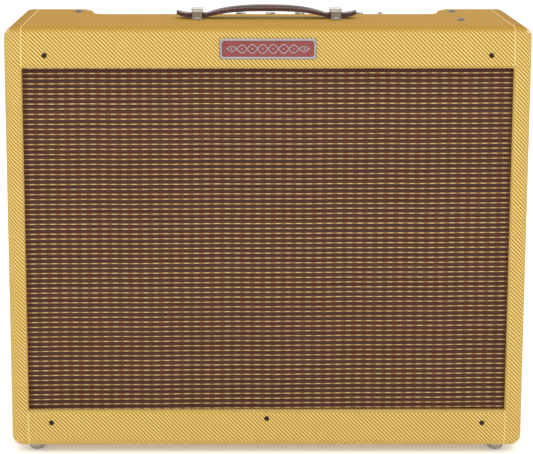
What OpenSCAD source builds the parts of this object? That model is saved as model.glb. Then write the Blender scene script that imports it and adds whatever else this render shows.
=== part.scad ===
// Guitar combo amplifier: cloth-covered wooden box, recessed grille, top control panel,
// two speakers set on a diagonal, and an open back.
// Millimetres. X runs right seen from the front, Y to the back, Z up.
// The origin is on the floor under the middle of the bounding box.

/* [Cabinet] */
// Width over the two sides
cab_width = 610; // [600:1:660]
// Height of the box without its feet
cab_height = 502.4; // [500:0.1:540]
// Depth of the box along its top edge
depth_top = 244; // [240:1:252]
// Depth of the box along its bottom edge
depth_bottom = 267; // [262:1:275]
// Thickness of the pine boards
board = 19.05; // [17:0.05:20]
// Thickness of the cloth covering with its glue
skin = 0.9; // [0.6:0.1:1.2]
// Radius of every outer edge
edge_r = 12.7; // [8:0.1:15]
// Height of the metal glides under the box
foot_height = 9; // [6:0.5:12]
// Distance of the glides from the ends of the box
foot_inset = 28.6; // [24:1:40]

/* [Front] */
// Height of the grille opening's lower edge over the floor
opening_low = 54.5; // [48:0.5:60]
// Height of the grille opening's upper edge over the floor
opening_high = 464.1; // [455:0.1:470]
// Distance of the grille cloth behind the front
grille_recess = 7.3; // [6:0.1:20]
// Thickness of the grille cloth
cloth = 0.8; // [0.5:0.1:1]
// Thickness of the speaker board
baffle = 12.7; // [10:0.1:15]
// Width of the name plate
plate_width = 111.3; // [90:0.1:130]
// Height of the name plate
plate_height = 23.5; // [18:0.1:28]

/* [Speakers] */
// Outer radius of a speaker frame
frame_r = 151; // [145:0.5:151.5]
// Depth of a speaker frame from its flange to its magnet
frame_depth = 68; // [60:1:75]
// Length of a magnet
magnet_depth = 45; // [35:1:50]

/* [Controls] */
// Length of the chassis
chassis_length = 490; // [480:1:500]
// Depth of the chassis from front to back
chassis_depth = 71; // [70:0.5:71]
// Height of the chassis
chassis_height = 90; // [80:1:100]
// Sheet thickness of the chassis
sheet = 1.6; // [1.2:0.1:2]
// Place of the first pointer knob along X
first_knob_x = -30; // [-34:1:-26]
// Distance between two pointer knobs
knob_pitch = 36.6; // [34:0.1:38]
// Height of a pointer knob
knob_height = 16; // [12:0.5:17]

/* [Handle] */
// Distance of each handle bracket from the middle
bracket_x = 83; // [75:1:90]
// Length of the handle between its tips
handle_length = 216; // [205:1:225]
// Width of the handle
handle_width = 25; // [20:1:28]
// How far the handle can be lifted in its brackets
handle_lift = 3; // [2:0.5:3]

/* [Hidden] */
$fn = 64;
eps = 0.01;

// Planes of the box
plate_proud = 2.5;
back_y = (depth_bottom + plate_proud) / 2;
front_y = back_y - depth_bottom;
base_z = foot_height;
top_z = base_z + cab_height;
slope = atan((depth_bottom - depth_top) / cab_height);
floor_z = base_z + skin + board;
ceiling_z = top_z - skin - board;
inner_x = cab_width / 2 - skin - board;
cloth_y = front_y + grille_recess;
baffle_y = cloth_y + cloth;
flange_y = baffle_y + baffle + 3;

// Recess over the control panel, cut in the rear of the top board
recess_y = front_y + 164;
recess_front_half = 215;
recess_back_half = 228;
recess_fillet = 20;
flare_y = [recess_y + 56, recess_y + 69];

// Chassis
chassis_y = recess_y - 1.6;
panel_z = ceiling_z;
control_y = front_y + 205;
tray_z = panel_z - chassis_height;
tube_y = chassis_y + chassis_depth / 2;

// Handle
handle_y = front_y + 115;
lower_layer = 2;
upper_layer = 2;
neck_width = 20;
bracket_width = 14.5;
bracket_sheet = 1.6;
// Height of the strap inside a bracket at rest, with the clearance left over it when lifted
bracket_room = 7.4;
bracket_height = bracket_sheet + bracket_room + handle_lift;
bracket_half = 15.2;
bracket_foot = 12;
core_width = 14;
core_sheet = 1.2;

// Screws and where they sit
screw_r = 1.8;
screw_hole_r = 2.1;
wood_screw_length = 14;
upper_screw_z = opening_high + 14.9;
lower_screw_z = opening_low - 15.3;
front_screws_at = [
    [-257.5, upper_screw_z], [257.5, upper_screw_z],
    [-257, lower_screw_z], [257, lower_screw_z], [0, opening_low - 10]
];
bolt_y = front_y + 194;
bolt_x = 232;
bracket_bolt = [231, front_y + 86];
bolt_r = 2.4;
bolt_hole_r = 2.7;
bolt_head_r = 4.4;
bolt_head_height = 2;
washer_r = [5.4, 4.6];
washer_height = 0.8;
nut_across = 10;
nut_height = 5;

// Name plate
plate_z = opening_high + 22.7;
plate_rim = 1.9;
plate_nail_inset = [2.6, 2.8];
plate_nail_head = 1.7;

// Back panels, heights measured up the sloping back
panel_sheet = 9.5;
upper_panel = [322, 481.5];
lower_panel = [20.5, 156];
cleat = 19;
cleat_screw_inset = 20;

// Speakers
speaker_x = inner_x - frame_r - 1.5;
speakers_at = [
    [-speaker_x, ceiling_z - frame_r - 1.5],
    [speaker_x, floor_z + frame_r + 1.5]
];
speaker_hole_r = 136;
speaker_bolt_circle = 145.5;
speaker_bolts_each = 8;
magnet_r = 46;
pole_r = 18.6;
coil_r = 20;
coil_gap_r = 20.9;
spider_z = 60;
spider_end = 50;

// Leads from the chassis wall to the speakers' necks
lead_r = 2;
lead_routes = [
    [[-30, chassis_y, 425], [-30, 20, 425], [-36, -14, 400], [-50, -38, 375], [-62, flange_y + 58.7, 350]],
    [[8, chassis_y, 420], [8, 16, 420], [6, -18, 380], [18, -38, 320], [45, -40, 250], [66, flange_y + 58.7, 205]]
];

// Controls along the panel
knobs_at = [for (i = [0:4]) first_knob_x + i * knob_pitch];
jacks_at = [-203, -170, -122, -89];
standby_x = 143;
power_x = -60;
pilot_x = 172;
fuse_x = 198;
pot_bore_r = 3.225;
shaft_r = 3.175;
jack_bore_r = 3.2;
jack_bore_length = 28;
knob_base_z = panel_z + 2.5;
lever_pivot_z = panel_z + 3;
lever_tilt = 12;
fuse_bore_r = 5.2;
gland_x = 222;
gland_bore_r = 3.9;

// Circuit board and transformers
board_y = chassis_y + sheet + 8;
board_low = tray_z + 26;
board_high = panel_z - 16;
transformer_x = 226;
transformer_z = panel_z - 62;
transformer_top = transformer_z + 40;

// Tubes: places along X, and [radius, length] of each kind's bulb
small_tubes_at = [-205, -165, -125, -85];
power_tubes_at = [-30, 30];
rectifier_tubes_at = [95, 160];
small_tube = [11, 50];
power_tube = [19, 90];
rectifier_tube = [22, 105];
octal_base = [17, 24];

// ---------------------------------------------------------------- helpers

// Puts children on the sloping back plane: Z runs up it, Y points out of it.
module on_back() {
    translate([0, back_y, base_z]) rotate([slope, 0, 0]) children();
}

// Stands a child's Z axis along +Y.
module along_y() {
    rotate([-90, 0, 0]) children();
}

// Rounded rectangle prism centred on the Z axis.
module round_prism(width, height, radius, length) {
    linear_extrude(length, center = true) {
        square([width - 2 * radius, height], center = true);
        square([width, height - 2 * radius], center = true);
        for (x = [-1, 1], y = [-1, 1])
            translate([x * (width / 2 - radius), y * (height / 2 - radius)]) circle(radius);
    }
}

// Side outline of the box, extruded across its width, its edges rounded with radius r.
module side_prism(inset, r) {
    low = base_z + inset;
    high = top_z - inset;
    front = front_y + inset;
    plane = back_y * cos(slope) + base_z * sin(slope) - inset;
    function rear(z) = (plane - r - z * sin(slope)) / cos(slope);
    centres = [
        [front + r, low + r], [rear(low + r), low + r],
        [rear(high - r), high - r], [front + r, high - r]
    ];
    out = [cos(slope), sin(slope)] * r;
    rotate([90, 0, 90]) linear_extrude(cab_width + 20, center = true) {
        for (c = centres) translate(c) circle(r);
        polygon([
            centres[0] + [-r, 0], centres[0] + [0, -r], centres[1] + [0, -r], centres[1] + out,
            centres[2] + out, centres[2] + [0, r], centres[3] + [0, r], centres[3] + [-r, 0]
        ]);
    }
}

// The whole box as one solid, its faces moved in by inset, its edges rounded with radius r.
module box_shape(inset, r) {
    w = cab_width - 2 * inset;
    intersection() {
        side_prism(inset, r);
        translate([0, 0, base_z + cab_height / 2])
            rotate([90, 0, 0]) round_prism(w, cab_height - 2 * inset, r, 800);
        translate([0, front_y + inset + 400, 300]) round_prism(w, 800, r, 900);
        on_back() translate([0, -400 - inset, 300]) round_prism(w, 800, r, 900);
    }
}

// Recess over the control panel, its walls moved out by grow.
module recess(grow) {
    front = recess_y - grow;
    a = recess_front_half + grow;
    b = recess_back_half + grow;
    r = recess_fillet - grow;
    translate([0, 0, ceiling_z]) linear_extrude(60) {
        difference() {
            polygon([[-a, front], [a, front], [a, flare_y[0]], [b, flare_y[1]],
                [b, front + 160], [-b, front + 160], [-b, flare_y[1]], [-a, flare_y[0]]]);
            for (side = [-1, 1]) difference() {
                translate([side * (a - r / 2), front + r / 2]) square(r, center = true);
                translate([side * (a - r), front + r]) circle(r);
            }
        }
    }
}

// Space inside the frame of the grille, its walls moved out by grow.
module front_opening(grow) {
    x = inner_x - skin + grow;
    translate([-x, front_y - 20, opening_low - grow])
        cube([2 * x, 20 + grille_recess, opening_high - opening_low + 2 * grow]);
}

// Every second cell of the finger joints at the four long corners.
module corner_cells(parity) {
    cells = 11;
    pitch = depth_bottom / cells;
    for (side = [0, 1], level = [0, 1], i = [parity:2:cells - 1])
        translate([
            side == 0 ? -cab_width / 2 : inner_x,
            front_y + i * pitch,
            level == 0 ? base_z : ceiling_z
        ])
            cube([board + skin, pitch, board + skin]);
}

module front_screw_holes(radius) {
    for (p = front_screws_at)
        translate([p[0], front_y - 5, p[1]]) along_y() cylinder(r = radius, h = 50);
}

module foot_places() {
    for (x = [-1, 1], y = [front_y + 24, back_y - 26])
        translate([x * (cab_width / 2 - foot_inset), y, 0]) children();
}

module bracket_screw_places() {
    for (x = [-1, 1], y = [-1, 1])
        translate([x * bracket_x, handle_y + y * (bracket_half + 6.5), top_z]) children();
}

// Bolt through the top board, its head on a cup washer and its nut at height nut_z.
module top_bolt(nut_z) {
    translate([0, 0, top_z]) cylinder(r1 = washer_r[0], r2 = washer_r[1], h = washer_height);
    translate([0, 0, top_z + washer_height - eps]) dome(bolt_head_r, bolt_head_height);
    translate([0, 0, nut_z - 1]) cylinder(r = bolt_r, h = top_z - nut_z + 2);
    translate([0, 0, nut_z]) cylinder(d = nut_across, h = nut_height, $fn = 6);
}

module top_bolt_places() {
    for (p = [[-bolt_x, bolt_y], [bolt_x, bolt_y], bracket_bolt])
        translate([p[0], p[1], 0]) children();
}

// Holes down through the top board and its covering.
module top_holes() {
    top_bolt_places() translate([0, 0, ceiling_z - 10]) cylinder(r = bolt_hole_r, h = 40);
    bracket_screw_places() translate([0, 0, -14.2]) cylinder(r = screw_hole_r, h = 20);
}

// Ring or tube around Z.
module tube(outer, inner, height) {
    difference() {
        cylinder(r = outer, h = height);
        translate([0, 0, -1]) cylinder(r = inner, h = height + 2);
    }
}

// Slice of a ball that rises by height over a circle of the given radius.
module dome(radius, height) {
    ball = (radius * radius + height * height) / (2 * height);
    intersection() {
        translate([0, 0, height - ball]) sphere(ball);
        cylinder(r = radius + 1, h = height + 1);
    }
}

// ---------------------------------------------------------------- cabinet

module cabinet_top() {
    color("burlywood") difference() {
        intersection() {
            box_shape(skin, edge_r);
            translate([-400, -400, ceiling_z]) cube([800, 800, 100]);
        }
        recess(skin);
        corner_cells(0);
        top_holes();
    }
}

module cabinet_bottom() {
    color("burlywood") difference() {
        intersection() {
            box_shape(skin, edge_r);
            translate([-400, -400, 0]) cube([800, 800, floor_z]);
        }
        corner_cells(0);
        foot_places() cylinder(r = screw_hole_r, h = base_z + 16);
    }
}

// side is -1 for the left board and 1 for the right one
module side_board(side) {
    color("burlywood") difference() {
        intersection() {
            box_shape(skin, edge_r);
            translate([side > 0 ? inner_x : -inner_x - 100, -400, 0]) cube([100, 800, 600]);
        }
        corner_cells(1);
        foot_places() cylinder(r = screw_hole_r, h = base_z + 16);
    }
}

module cabinet_left() {
    side_board(-1);
}

module cabinet_right() {
    side_board(1);
}

module rail(low, high) {
    color("burlywood") difference() {
        translate([-inner_x, front_y + skin, low])
            cube([2 * inner_x, grille_recess - skin, high - low]);
        front_screw_holes(screw_hole_r);
    }
}

module front_upper_rail() {
    rail(opening_high + skin, ceiling_z);
}

module front_lower_rail() {
    rail(floor_z, opening_low - skin);
}

module baffle_board() {
    color("peru") difference() {
        translate([-inner_x + 0.5, baffle_y, floor_z + 0.5])
            cube([2 * inner_x - 1, baffle, ceiling_z - floor_z - 1]);
        for (s = speakers_at) translate([s[0], baffle_y - 1, s[1]]) along_y() {
            cylinder(r = speaker_hole_r, h = baffle + 2);
            speaker_bolt_places() cylinder(r = 2.8, h = baffle + 2);
        }
        front_screw_holes(screw_hole_r);
    }
}

module grille_cloth() {
    color([0.3, 0.2, 0.18]) difference() {
        translate([-inner_x + 0.5, cloth_y, floor_z + 0.5])
            cube([2 * inner_x - 1, cloth, ceiling_z - floor_z - 1]);
        front_screw_holes(screw_hole_r);
    }
}

module back_cleats() {
    color("burlywood") for (side = [-1, 1], span = [upper_panel, lower_panel])
        on_back() translate([side * (inner_x - cleat / 2), -panel_sheet - cleat / 2, 0])
            difference() {
                translate([0, 0, (span[0] + span[1]) / 2])
                    cube([cleat, cleat, span[1] - span[0] - 4], center = true);
                for (z = [span[0] + cleat_screw_inset, span[1] - cleat_screw_inset])
                    translate([0, -4, z]) along_y() cylinder(r = screw_hole_r, h = cleat);
            }
}

// Everything that the covering wraps round, taken as one solid.
module wrapped_core() {
    difference() {
        box_shape(skin, edge_r - skin);
        recess(skin);
        front_opening(skin);
    }
}

module tweed_cover() {
    color([0.81, 0.7, 0.4]) difference() {
        box_shape(0, edge_r);
        wrapped_core();
        recess(0);
        front_opening(0);
        translate([-inner_x, back_y - 60, floor_z])
            cube([2 * inner_x, 100, ceiling_z - floor_z]);
        front_screw_holes(screw_hole_r);
        top_holes();
        foot_places() cylinder(r = screw_hole_r, h = 20);
    }
}

module back_screw_places(span) {
    for (side = [-1, 1], z = [span[0] + cleat_screw_inset, span[1] - cleat_screw_inset])
        translate([side * (inner_x - cleat / 2), 0, z]) children();
}

module back_panel(span) {
    color([0.81, 0.7, 0.4]) on_back() difference() {
        translate([-inner_x + 0.6, -panel_sheet, span[0]])
            cube([2 * inner_x - 1.2, panel_sheet, span[1] - span[0]]);
        back_screw_places(span) translate([0, -panel_sheet - 1, 0]) along_y()
            cylinder(r = screw_hole_r, h = panel_sheet + 2);
    }
}

module upper_back_panel() {
    back_panel(upper_panel);
}

module lower_back_panel() {
    back_panel(lower_panel);
}

// Round-headed screw with a shank of the given length, head up, on the plane Z = 0.
module screw(head_r, head_height, length) {
    dome(head_r, head_height);
    translate([0, 0, -length]) cylinder(r = screw_r, h = length + eps);
}

module back_panel_screws() {
    color("silver") on_back() for (span = [upper_panel, lower_panel])
        back_screw_places(span) along_y() screw(4, 1.6, panel_sheet + 12);
}

module front_screws() {
    color("dimgray") for (p = front_screws_at)
        translate([p[0], front_y, p[1]]) rotate([90, 0, 0])
            screw(3.1, 1.2, grille_recess + cloth + baffle - 2);
}

module glide_feet() {
    shell_r = 10;
    cap = 5;
    ball = (shell_r * shell_r + cap * cap) / (2 * cap);
    color("silver") foot_places() {
        intersection() {
            translate([0, 0, ball - 0.4]) sphere(ball);
            cylinder(r = shell_r, h = cap);
        }
        translate([0, 0, cap - eps]) cylinder(r = shell_r - 0.2, h = foot_height - cap + eps);
        cylinder(r = screw_r, h = foot_height + 14);
    }
}

// ---------------------------------------------------------------- handle

// Underside of the handle over the top of the box, at a distance x from the middle.
function handle_under(x) = let (a = abs(x))
    a < bracket_x - 12 ? 9 - 7 * pow(a / (bracket_x - 12), 3)
    : a < bracket_x + 8 ? 2
    : 2 + 3 * pow((a - bracket_x - 8) / (handle_length / 2 - bracket_x - 8), 2);

// Half width of the handle: full in the middle and at the tips, narrow in the brackets.
function handle_half(x) = let (a = abs(x), tip = handle_length / 2)
    a < bracket_x - 20 ? handle_width / 2
    : a < bracket_x - 10 ? handle_width / 2
        - (handle_width - neck_width) / 2 * (a - bracket_x + 20) / 10
    : a < bracket_x + 10 ? neck_width / 2
    : let (u = (a - bracket_x - 10) / (tip - bracket_x - 10))
        neck_width / 2 + 2.5 * sin(180 * min(u * 0.75, 0.5))
        - (neck_width / 2 - 1) * pow(u, 4);

// Height of the padded crown over the stitched edge.
function crown(x) = let (a = abs(x))
    a > bracket_x - 14 ? 0.6 : 0.6 + 2.6 * pow(cos(90 * a / (bracket_x - 14)), 0.6);

// Places along the handle where a cross-section stands.
stations = [for (i = [-36:36]) i * handle_length / 72];

// Layer of the handle between two heights over its underside; bulge scales its crown.
module strap_layer(low, high, bulge) {
    arcs = bulge > 0 ? 8 : 1;
    across = [for (j = [0:arcs]) cos(180 * j / arcs)];
    ring = arcs + 3;
    function section(x) = let (h = handle_half(x), z = top_z + handle_under(x)) concat(
        [for (c = across) [x, handle_y + h * c,
            z + high + bulge * crown(x) * pow(max(1 - c * c, 0), 0.8)]],
        [[x, handle_y - h, z + low], [x, handle_y + h, z + low]]
    );
    count = len(stations);
    polyhedron(
        points = [for (x = stations) each section(x)],
        faces = concat(
            [[for (j = [0:ring - 1]) j]],
            [[for (j = [ring - 1:-1:0]) (count - 1) * ring + j]],
            [for (i = [0:count - 2], j = [0:ring - 1]) let (k = (j + 1) % ring)
                [i * ring + j, (i + 1) * ring + j, (i + 1) * ring + k]],
            [for (i = [0:count - 2], j = [0:ring - 1]) let (k = (j + 1) % ring)
                [i * ring + j, (i + 1) * ring + k, i * ring + k]]
        )
    );
}

module handle_lower_strap() {
    color("saddlebrown") strap_layer(0, lower_layer, 0);
}

// Flat band that follows the underside of the upper layer.
module core_band(width, low, high) {
    span = [for (x = stations) if (abs(x) < bracket_x - 16) x];
    translate([0, handle_y + width / 2, 0]) rotate([90, 0, 0]) linear_extrude(width)
        polygon(concat(
            [for (x = span) [x, top_z + handle_under(x) + low]],
            [for (i = [len(span) - 1:-1:0])
                [span[i], top_z + handle_under(span[i]) + high]]
        ));
}

module handle_upper_pad() {
    color("saddlebrown") difference() {
        strap_layer(lower_layer, lower_layer + upper_layer, 1);
        core_band(core_width + 1, lower_layer - 0.1, lower_layer + core_sheet + 0.3);
    }
}

module handle_core() {
    color("gray") core_band(core_width, lower_layer, lower_layer + core_sheet);
}

// Outline of a bracket, seen along the handle.
module bracket_outline() {
    half = bracket_half;
    outer = half + bracket_sheet;
    foot_end = outer + bracket_foot;
    difference() {
        union() {
            translate([-outer, 0]) square([2 * outer, bracket_height - 4]);
            translate([-outer + 4, 0]) square([2 * outer - 8, bracket_height]);
            for (side = [-1, 1])
                translate([side * (outer - 4), bracket_height - 4]) circle(4);
            translate([-foot_end, 0]) square([2 * foot_end, bracket_sheet]);
        }
        translate([-half, -1]) square([2 * half, bracket_height - bracket_sheet - 1.4]);
        translate([-half + 2.4, -1]) square([2 * half - 4.8, bracket_height - bracket_sheet + 1]);
        for (side = [-1, 1])
            translate([side * (half - 2.4), bracket_height - bracket_sheet - 2.4]) circle(2.4);
    }
}

module handle_brackets() {
    color("silver") difference() {
        for (x = [-1, 1])
            translate([x * bracket_x - bracket_width / 2, handle_y, top_z])
                rotate([90, 0, 90]) linear_extrude(bracket_width) bracket_outline();
        bracket_screw_places() translate([0, 0, -1]) cylinder(r = screw_hole_r, h = 6);
    }
}

module handle_screws() {
    color("silver") bracket_screw_places()
        translate([0, 0, bracket_sheet]) screw(3.6, 1.8, wood_screw_length);
}

// ---------------------------------------------------------------- name plate

module nail_places() {
    for (x = [-1, 1], z = [-1, 1])
        translate([
            x * (plate_width / 2 - plate_nail_inset[0]),
            front_y,
            plate_z + z * (plate_height / 2 - plate_nail_inset[1])
        ])
            children();
}

// Plate with a raised rim round a sunken field, and a row of slanted bars as an ornament.
module nameplate() {
    field = 1.2;
    border = 5.6;
    cut_depth = 10;
    bars = 5;
    color("silver") difference() {
        translate([0, front_y - plate_rim / 2, plate_z]) rotate([90, 0, 0])
            round_prism(plate_width, plate_height, 1.6, plate_rim);
        difference() {
            translate([0, front_y - field - cut_depth / 2, plate_z]) rotate([90, 0, 0])
                round_prism(plate_width - border, plate_height - border, 1.2, cut_depth);
            for (i = [-bars:bars])
                translate([i * 7, front_y - 0.7, plate_z]) rotate([90, 35, 0])
                    round_prism(1.4, 2 * bars - abs(i), 0.6, 1.6);
        }
        nail_places() translate([0, -3, 0]) along_y() cylinder(r = 0.9, h = 6);
    }
}

module nameplate_nails() {
    color("silver") nail_places() rotate([90, 0, 0]) {
        translate([0, 0, plate_rim]) dome(plate_nail_head, plate_proud - plate_rim);
        cylinder(r = 0.6, h = plate_rim + eps);
    }
}

// ---------------------------------------------------------------- chassis

module chassis_shape() {
    translate([-chassis_length / 2, chassis_y, tray_z])
        cube([chassis_length, chassis_depth, chassis_height]);
}

module chassis() {
    color("gainsboro") difference() {
        chassis_shape();
        translate([-chassis_length / 2 - 1, chassis_y + sheet, tray_z + sheet])
            cube([chassis_length + 2, chassis_depth, chassis_height - 2 * sheet]);
        for (x = [-bolt_x, bolt_x])
            translate([x, bolt_y, panel_z - 10]) cylinder(r = bolt_hole_r, h = 20);
        for (x = concat(knobs_at, jacks_at))
            translate([x, control_y, panel_z - 10]) cylinder(r = 5.1, h = 20);
        for (x = [standby_x, power_x])
            translate([x, control_y, panel_z - 10]) cylinder(r = 6.3, h = 20);
        translate([pilot_x, control_y, panel_z - 10]) cylinder(r = 7.3, h = 20);
        translate([fuse_x, control_y, panel_z - 10]) cylinder(r = 7.8, h = 20);
        for (x = small_tubes_at) translate([x, tube_y, tray_z - 5]) cylinder(r = 10.3, h = 20);
        for (x = concat(power_tubes_at, rectifier_tubes_at))
            translate([x, tube_y, tray_z - 5]) cylinder(r = 15.3, h = 20);
        translate([gland_x, tube_y, tray_z - 5]) cylinder(r = 6.3, h = 20);
    }
}

module chassis_bolts() {
    color("silver") for (x = [-bolt_x, bolt_x])
        translate([x, bolt_y, 0]) top_bolt(panel_z - sheet - nut_height);
}

// Strap that hangs the front of the power transformer from the top board.
module transformer_bracket() {
    strap = 2;
    width = 20;
    reach = 13;
    color("silver") translate([bracket_bolt[0], bracket_bolt[1], 0]) {
        difference() {
            translate([-width / 2, -9, ceiling_z - strap]) cube([width, reach + 9 + strap, strap]);
            translate([0, 0, ceiling_z - 10]) cylinder(r = bolt_hole_r, h = 20);
        }
        translate([-width / 2, reach, transformer_top])
            cube([width, strap, ceiling_z - transformer_top - strap / 2]);
        translate([-width / 2, reach, transformer_top]) cube([width, 26, strap]);
        top_bolt(ceiling_z - strap - nut_height);
    }
}

// ---------------------------------------------------------------- controls

module hex_nut(across, height, hole) {
    difference() {
        cylinder(r = across / 2, h = height, $fn = 6);
        translate([0, 0, -1]) cylinder(r = hole, h = height + 2);
    }
}

module potentiometers() {
    color("silver") for (x = knobs_at) translate([x, control_y, panel_z]) {
        difference() {
            union() {
                translate([0, 0, -sheet - 11]) cylinder(r = 12, h = 11);
                translate([0, 0, -sheet - 2]) cylinder(r = 4.7, h = sheet + 4.4);
                hex_nut(14, 2, 4.6);
            }
            translate([0, 0, -sheet - 8]) cylinder(r = pot_bore_r, h = 20);
        }
        translate([-8, 8, -sheet - 7]) cube([16, 10, 1.5]);
    }
}

// The knob with its shaft; its pointer starts towards the given angle from the front.
module knob(index, pointer) {
    skirt_r = 9.5;
    tip = 17;
    color([0.1, 0.1, 0.1]) translate([knobs_at[index - 1], control_y, knob_base_z])
        rotate([0, 0, pointer]) {
            cylinder(r = skirt_r, h = 4);
            translate([0, 0, 4 - eps]) cylinder(r1 = 8.6, r2 = 7.4, h = knob_height - 5);
            translate([0, 0, 1]) linear_extrude(knob_height - 1)
                polygon([[-5.5, 6], [-6, 2], [-5, -8], [-1.3, -tip], [1.3, -tip], [5, -8],
                    [6, 2], [5.5, 6]]);
            translate([0, 0, -11]) cylinder(r = shaft_r, h = 12);
        }
}

module knob_1() { knob(1, 12); }
module knob_2() { knob(2, -8); }
module knob_3() { knob(3, 5); }
module knob_4() { knob(4, -14); }
module knob_5() { knob(5, 8); }

module input_jacks() {
    color("silver") for (x = jacks_at) translate([x, control_y, panel_z]) {
        difference() {
            union() {
                translate([0, 0, -sheet - 25]) cylinder(r = 8, h = 25);
                translate([0, 0, -sheet - 2]) cylinder(r = 4.7, h = sheet + 5);
                hex_nut(14, 2.2, 4.6);
            }
            translate([0, 0, 3 - jack_bore_length]) cylinder(r = jack_bore_r, h = 40);
        }
    }
}

module toggle_switches() {
    color("silver") for (x = [standby_x, power_x]) translate([x, control_y, panel_z]) {
        difference() {
            union() {
                translate([-7, -13, -sheet - 18]) cube([14, 26, 18]);
                translate([0, 0, -sheet - 2]) cylinder(r = 6, h = sheet + 8);
                hex_nut(17, 2, 5.9);
            }
            translate([0, 0, -6]) cylinder(r = 4.8, h = 20);
        }
    }
}

// Switch lever leaning by tilt about its pivot pin, which lies inside the switch's collar.
module lever(x, tilt) {
    bat_r = 2.9;
    bat_length = 14;
    color("silver") translate([x, control_y, lever_pivot_z]) rotate([tilt, 0, 0]) {
        sphere(3.6);
        rotate([0, 90, 0]) cylinder(r = 1.2, h = 9, center = true);
        cylinder(r1 = 1.7, r2 = bat_r, h = bat_length);
        translate([0, 0, bat_length]) sphere(bat_r);
    }
}

module standby_lever() {
    lever(standby_x, lever_tilt);
}

module power_lever() {
    lever(power_x, -lever_tilt);
}

module pilot_bezel() {
    color("silver") translate([pilot_x, control_y, panel_z]) difference() {
        union() {
            cylinder(r = 9.2, h = 3);
            translate([0, 0, -sheet - 14]) cylinder(r = 7, h = sheet + 15);
        }
        translate([0, 0, -sheet - 12]) cylinder(r = 6.2, h = 30);
    }
}

module pilot_jewel() {
    color("red") translate([pilot_x, control_y, panel_z]) {
        translate([0, 0, -4]) cylinder(r = 5.9, h = 8);
        translate([0, 0, 4 - eps]) cylinder(r1 = 6.8, r2 = 5.6, h = 3, $fn = 24);
        translate([0, 0, 7 - 2 * eps]) dome(5.4, 2.4);
    }
}

module fuse_holder() {
    color([0.1, 0.1, 0.1]) translate([fuse_x, control_y, panel_z]) difference() {
        union() {
            cylinder(r = 9, h = 2.5);
            translate([0, 0, -sheet - 34]) cylinder(r = 7.5, h = sheet + 35);
        }
        translate([0, 0, -sheet - 31]) cylinder(r = fuse_bore_r, h = 60);
    }
}

module fuse_cap() {
    color([0.1, 0.1, 0.1]) translate([fuse_x, control_y, panel_z]) {
        translate([0, 0, 2.6]) difference() {
            cylinder(r = 7, h = 8);
            translate([-0.8, -8, 6.5]) cube([1.6, 16, 3]);
        }
        translate([0, 0, -12]) cylinder(r = fuse_bore_r - 0.06, h = 15);
        translate([0, 0, -30]) cylinder(r = 3.1, h = 19);
    }
}

module cord_gland() {
    color([0.12, 0.12, 0.12]) translate([gland_x, tube_y, tray_z]) difference() {
        union() {
            translate([0, 0, -4]) cylinder(r = 9, h = 4);
            translate([0, 0, -1]) cylinder(r = 6, h = sheet + 4);
        }
        translate([0, 0, -10]) cylinder(r = gland_bore_r, h = 20);
    }
}

// ---------------------------------------------------------------- inside the chassis

module circuit_board() {
    color("darkgoldenrod") {
        translate([-215, board_y, board_low]) cube([320, 2, board_high - board_low]);
        for (x = [-190, -60, 80])
            translate([x, chassis_y + sheet, (board_low + board_high) / 2]) along_y()
                cylinder(r = 4, h = 8 + eps);
    }
}

module board_components() {
    middle = (board_low + board_high) / 2;
    color("gold") for (i = [0:15]) {
        x = -205 + i * 20;
        long = i % 3 == 1;
        radius = long ? 4.5 : 2.6;
        length = long ? 26 : 12;
        translate([x, board_y + 2 + radius, middle - length / 2]) cylinder(r = radius, h = length);
    }
}

module filter_capacitors() {
    color("lightgray") for (i = [0:3])
        translate([124 + (i % 2) * 60, chassis_y + sheet + 8.9, tray_z + 20 + floor(i / 2) * 20])
            rotate([0, 90, 0]) cylinder(r = 8.6, h = 52);
}

module tube_sockets() {
    color("saddlebrown") {
        for (x = small_tubes_at) translate([x, tube_y, tray_z]) {
            translate([0, 0, -1]) cylinder(r = 10, h = 9);
            translate([0, 0, -1.5]) cylinder(r = 12.5, h = 1.5);
        }
        for (x = concat(power_tubes_at, rectifier_tubes_at)) translate([x, tube_y, tray_z]) {
            translate([0, 0, -1]) cylinder(r = 15, h = 11);
            translate([0, 0, -2]) cylinder(r = 19, h = 2);
        }
    }
}

// Glass bulb hanging from the plane Z = 0, hollow inside.
module bulb(radius, length) {
    wall = 1.1;
    difference() {
        union() {
            translate([0, 0, radius - length]) cylinder(r = radius, h = length - radius);
            translate([0, 0, radius - length]) sphere(radius);
        }
        translate([0, 0, radius - length]) cylinder(r = radius - wall, h = length - radius - 2);
        translate([0, 0, radius - length]) sphere(radius - wall);
    }
}

module preamp_tubes() {
    color([0.85, 0.9, 0.9, 0.4]) for (x = small_tubes_at)
        translate([x, tube_y, tray_z - 1.5]) bulb(small_tube[0], small_tube[1]);
}

module power_tubes() {
    color([0.85, 0.9, 0.9, 0.4]) for (x = power_tubes_at)
        translate([x, tube_y, tray_z - 2 - octal_base[1]]) bulb(power_tube[0], power_tube[1]);
}

module rectifier_tubes() {
    color([0.85, 0.9, 0.9, 0.4]) for (x = rectifier_tubes_at)
        translate([x, tube_y, tray_z - 2 - octal_base[1]])
            bulb(rectifier_tube[0], rectifier_tube[1]);
}

module tube_bases() {
    color([0.15, 0.1, 0.08]) for (x = concat(power_tubes_at, rectifier_tubes_at))
        translate([x, tube_y, tray_z - 2 - octal_base[1]])
            cylinder(r = octal_base[0], h = octal_base[1]);
}

// Plates held inside a bulb that hangs from height z.
module plates(x, z, width, depth, height) {
    translate([x, tube_y, z - 2 - height - width / 2]) {
        translate([-width / 2, -depth / 2, 0]) cube([width, depth, height]);
        for (side = [-1, 1]) translate([side * width / 4, 0, -2]) cylinder(r = 1, h = height + 4);
        translate([0, 0, height + 1]) cylinder(r = width / 2, h = 0.8);
        translate([0, 0, -2]) cylinder(r = width / 2, h = 0.8);
        translate([0, 0, height]) cylinder(r = 1, h = 2 + width / 2 - 1.9);
    }
}

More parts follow.
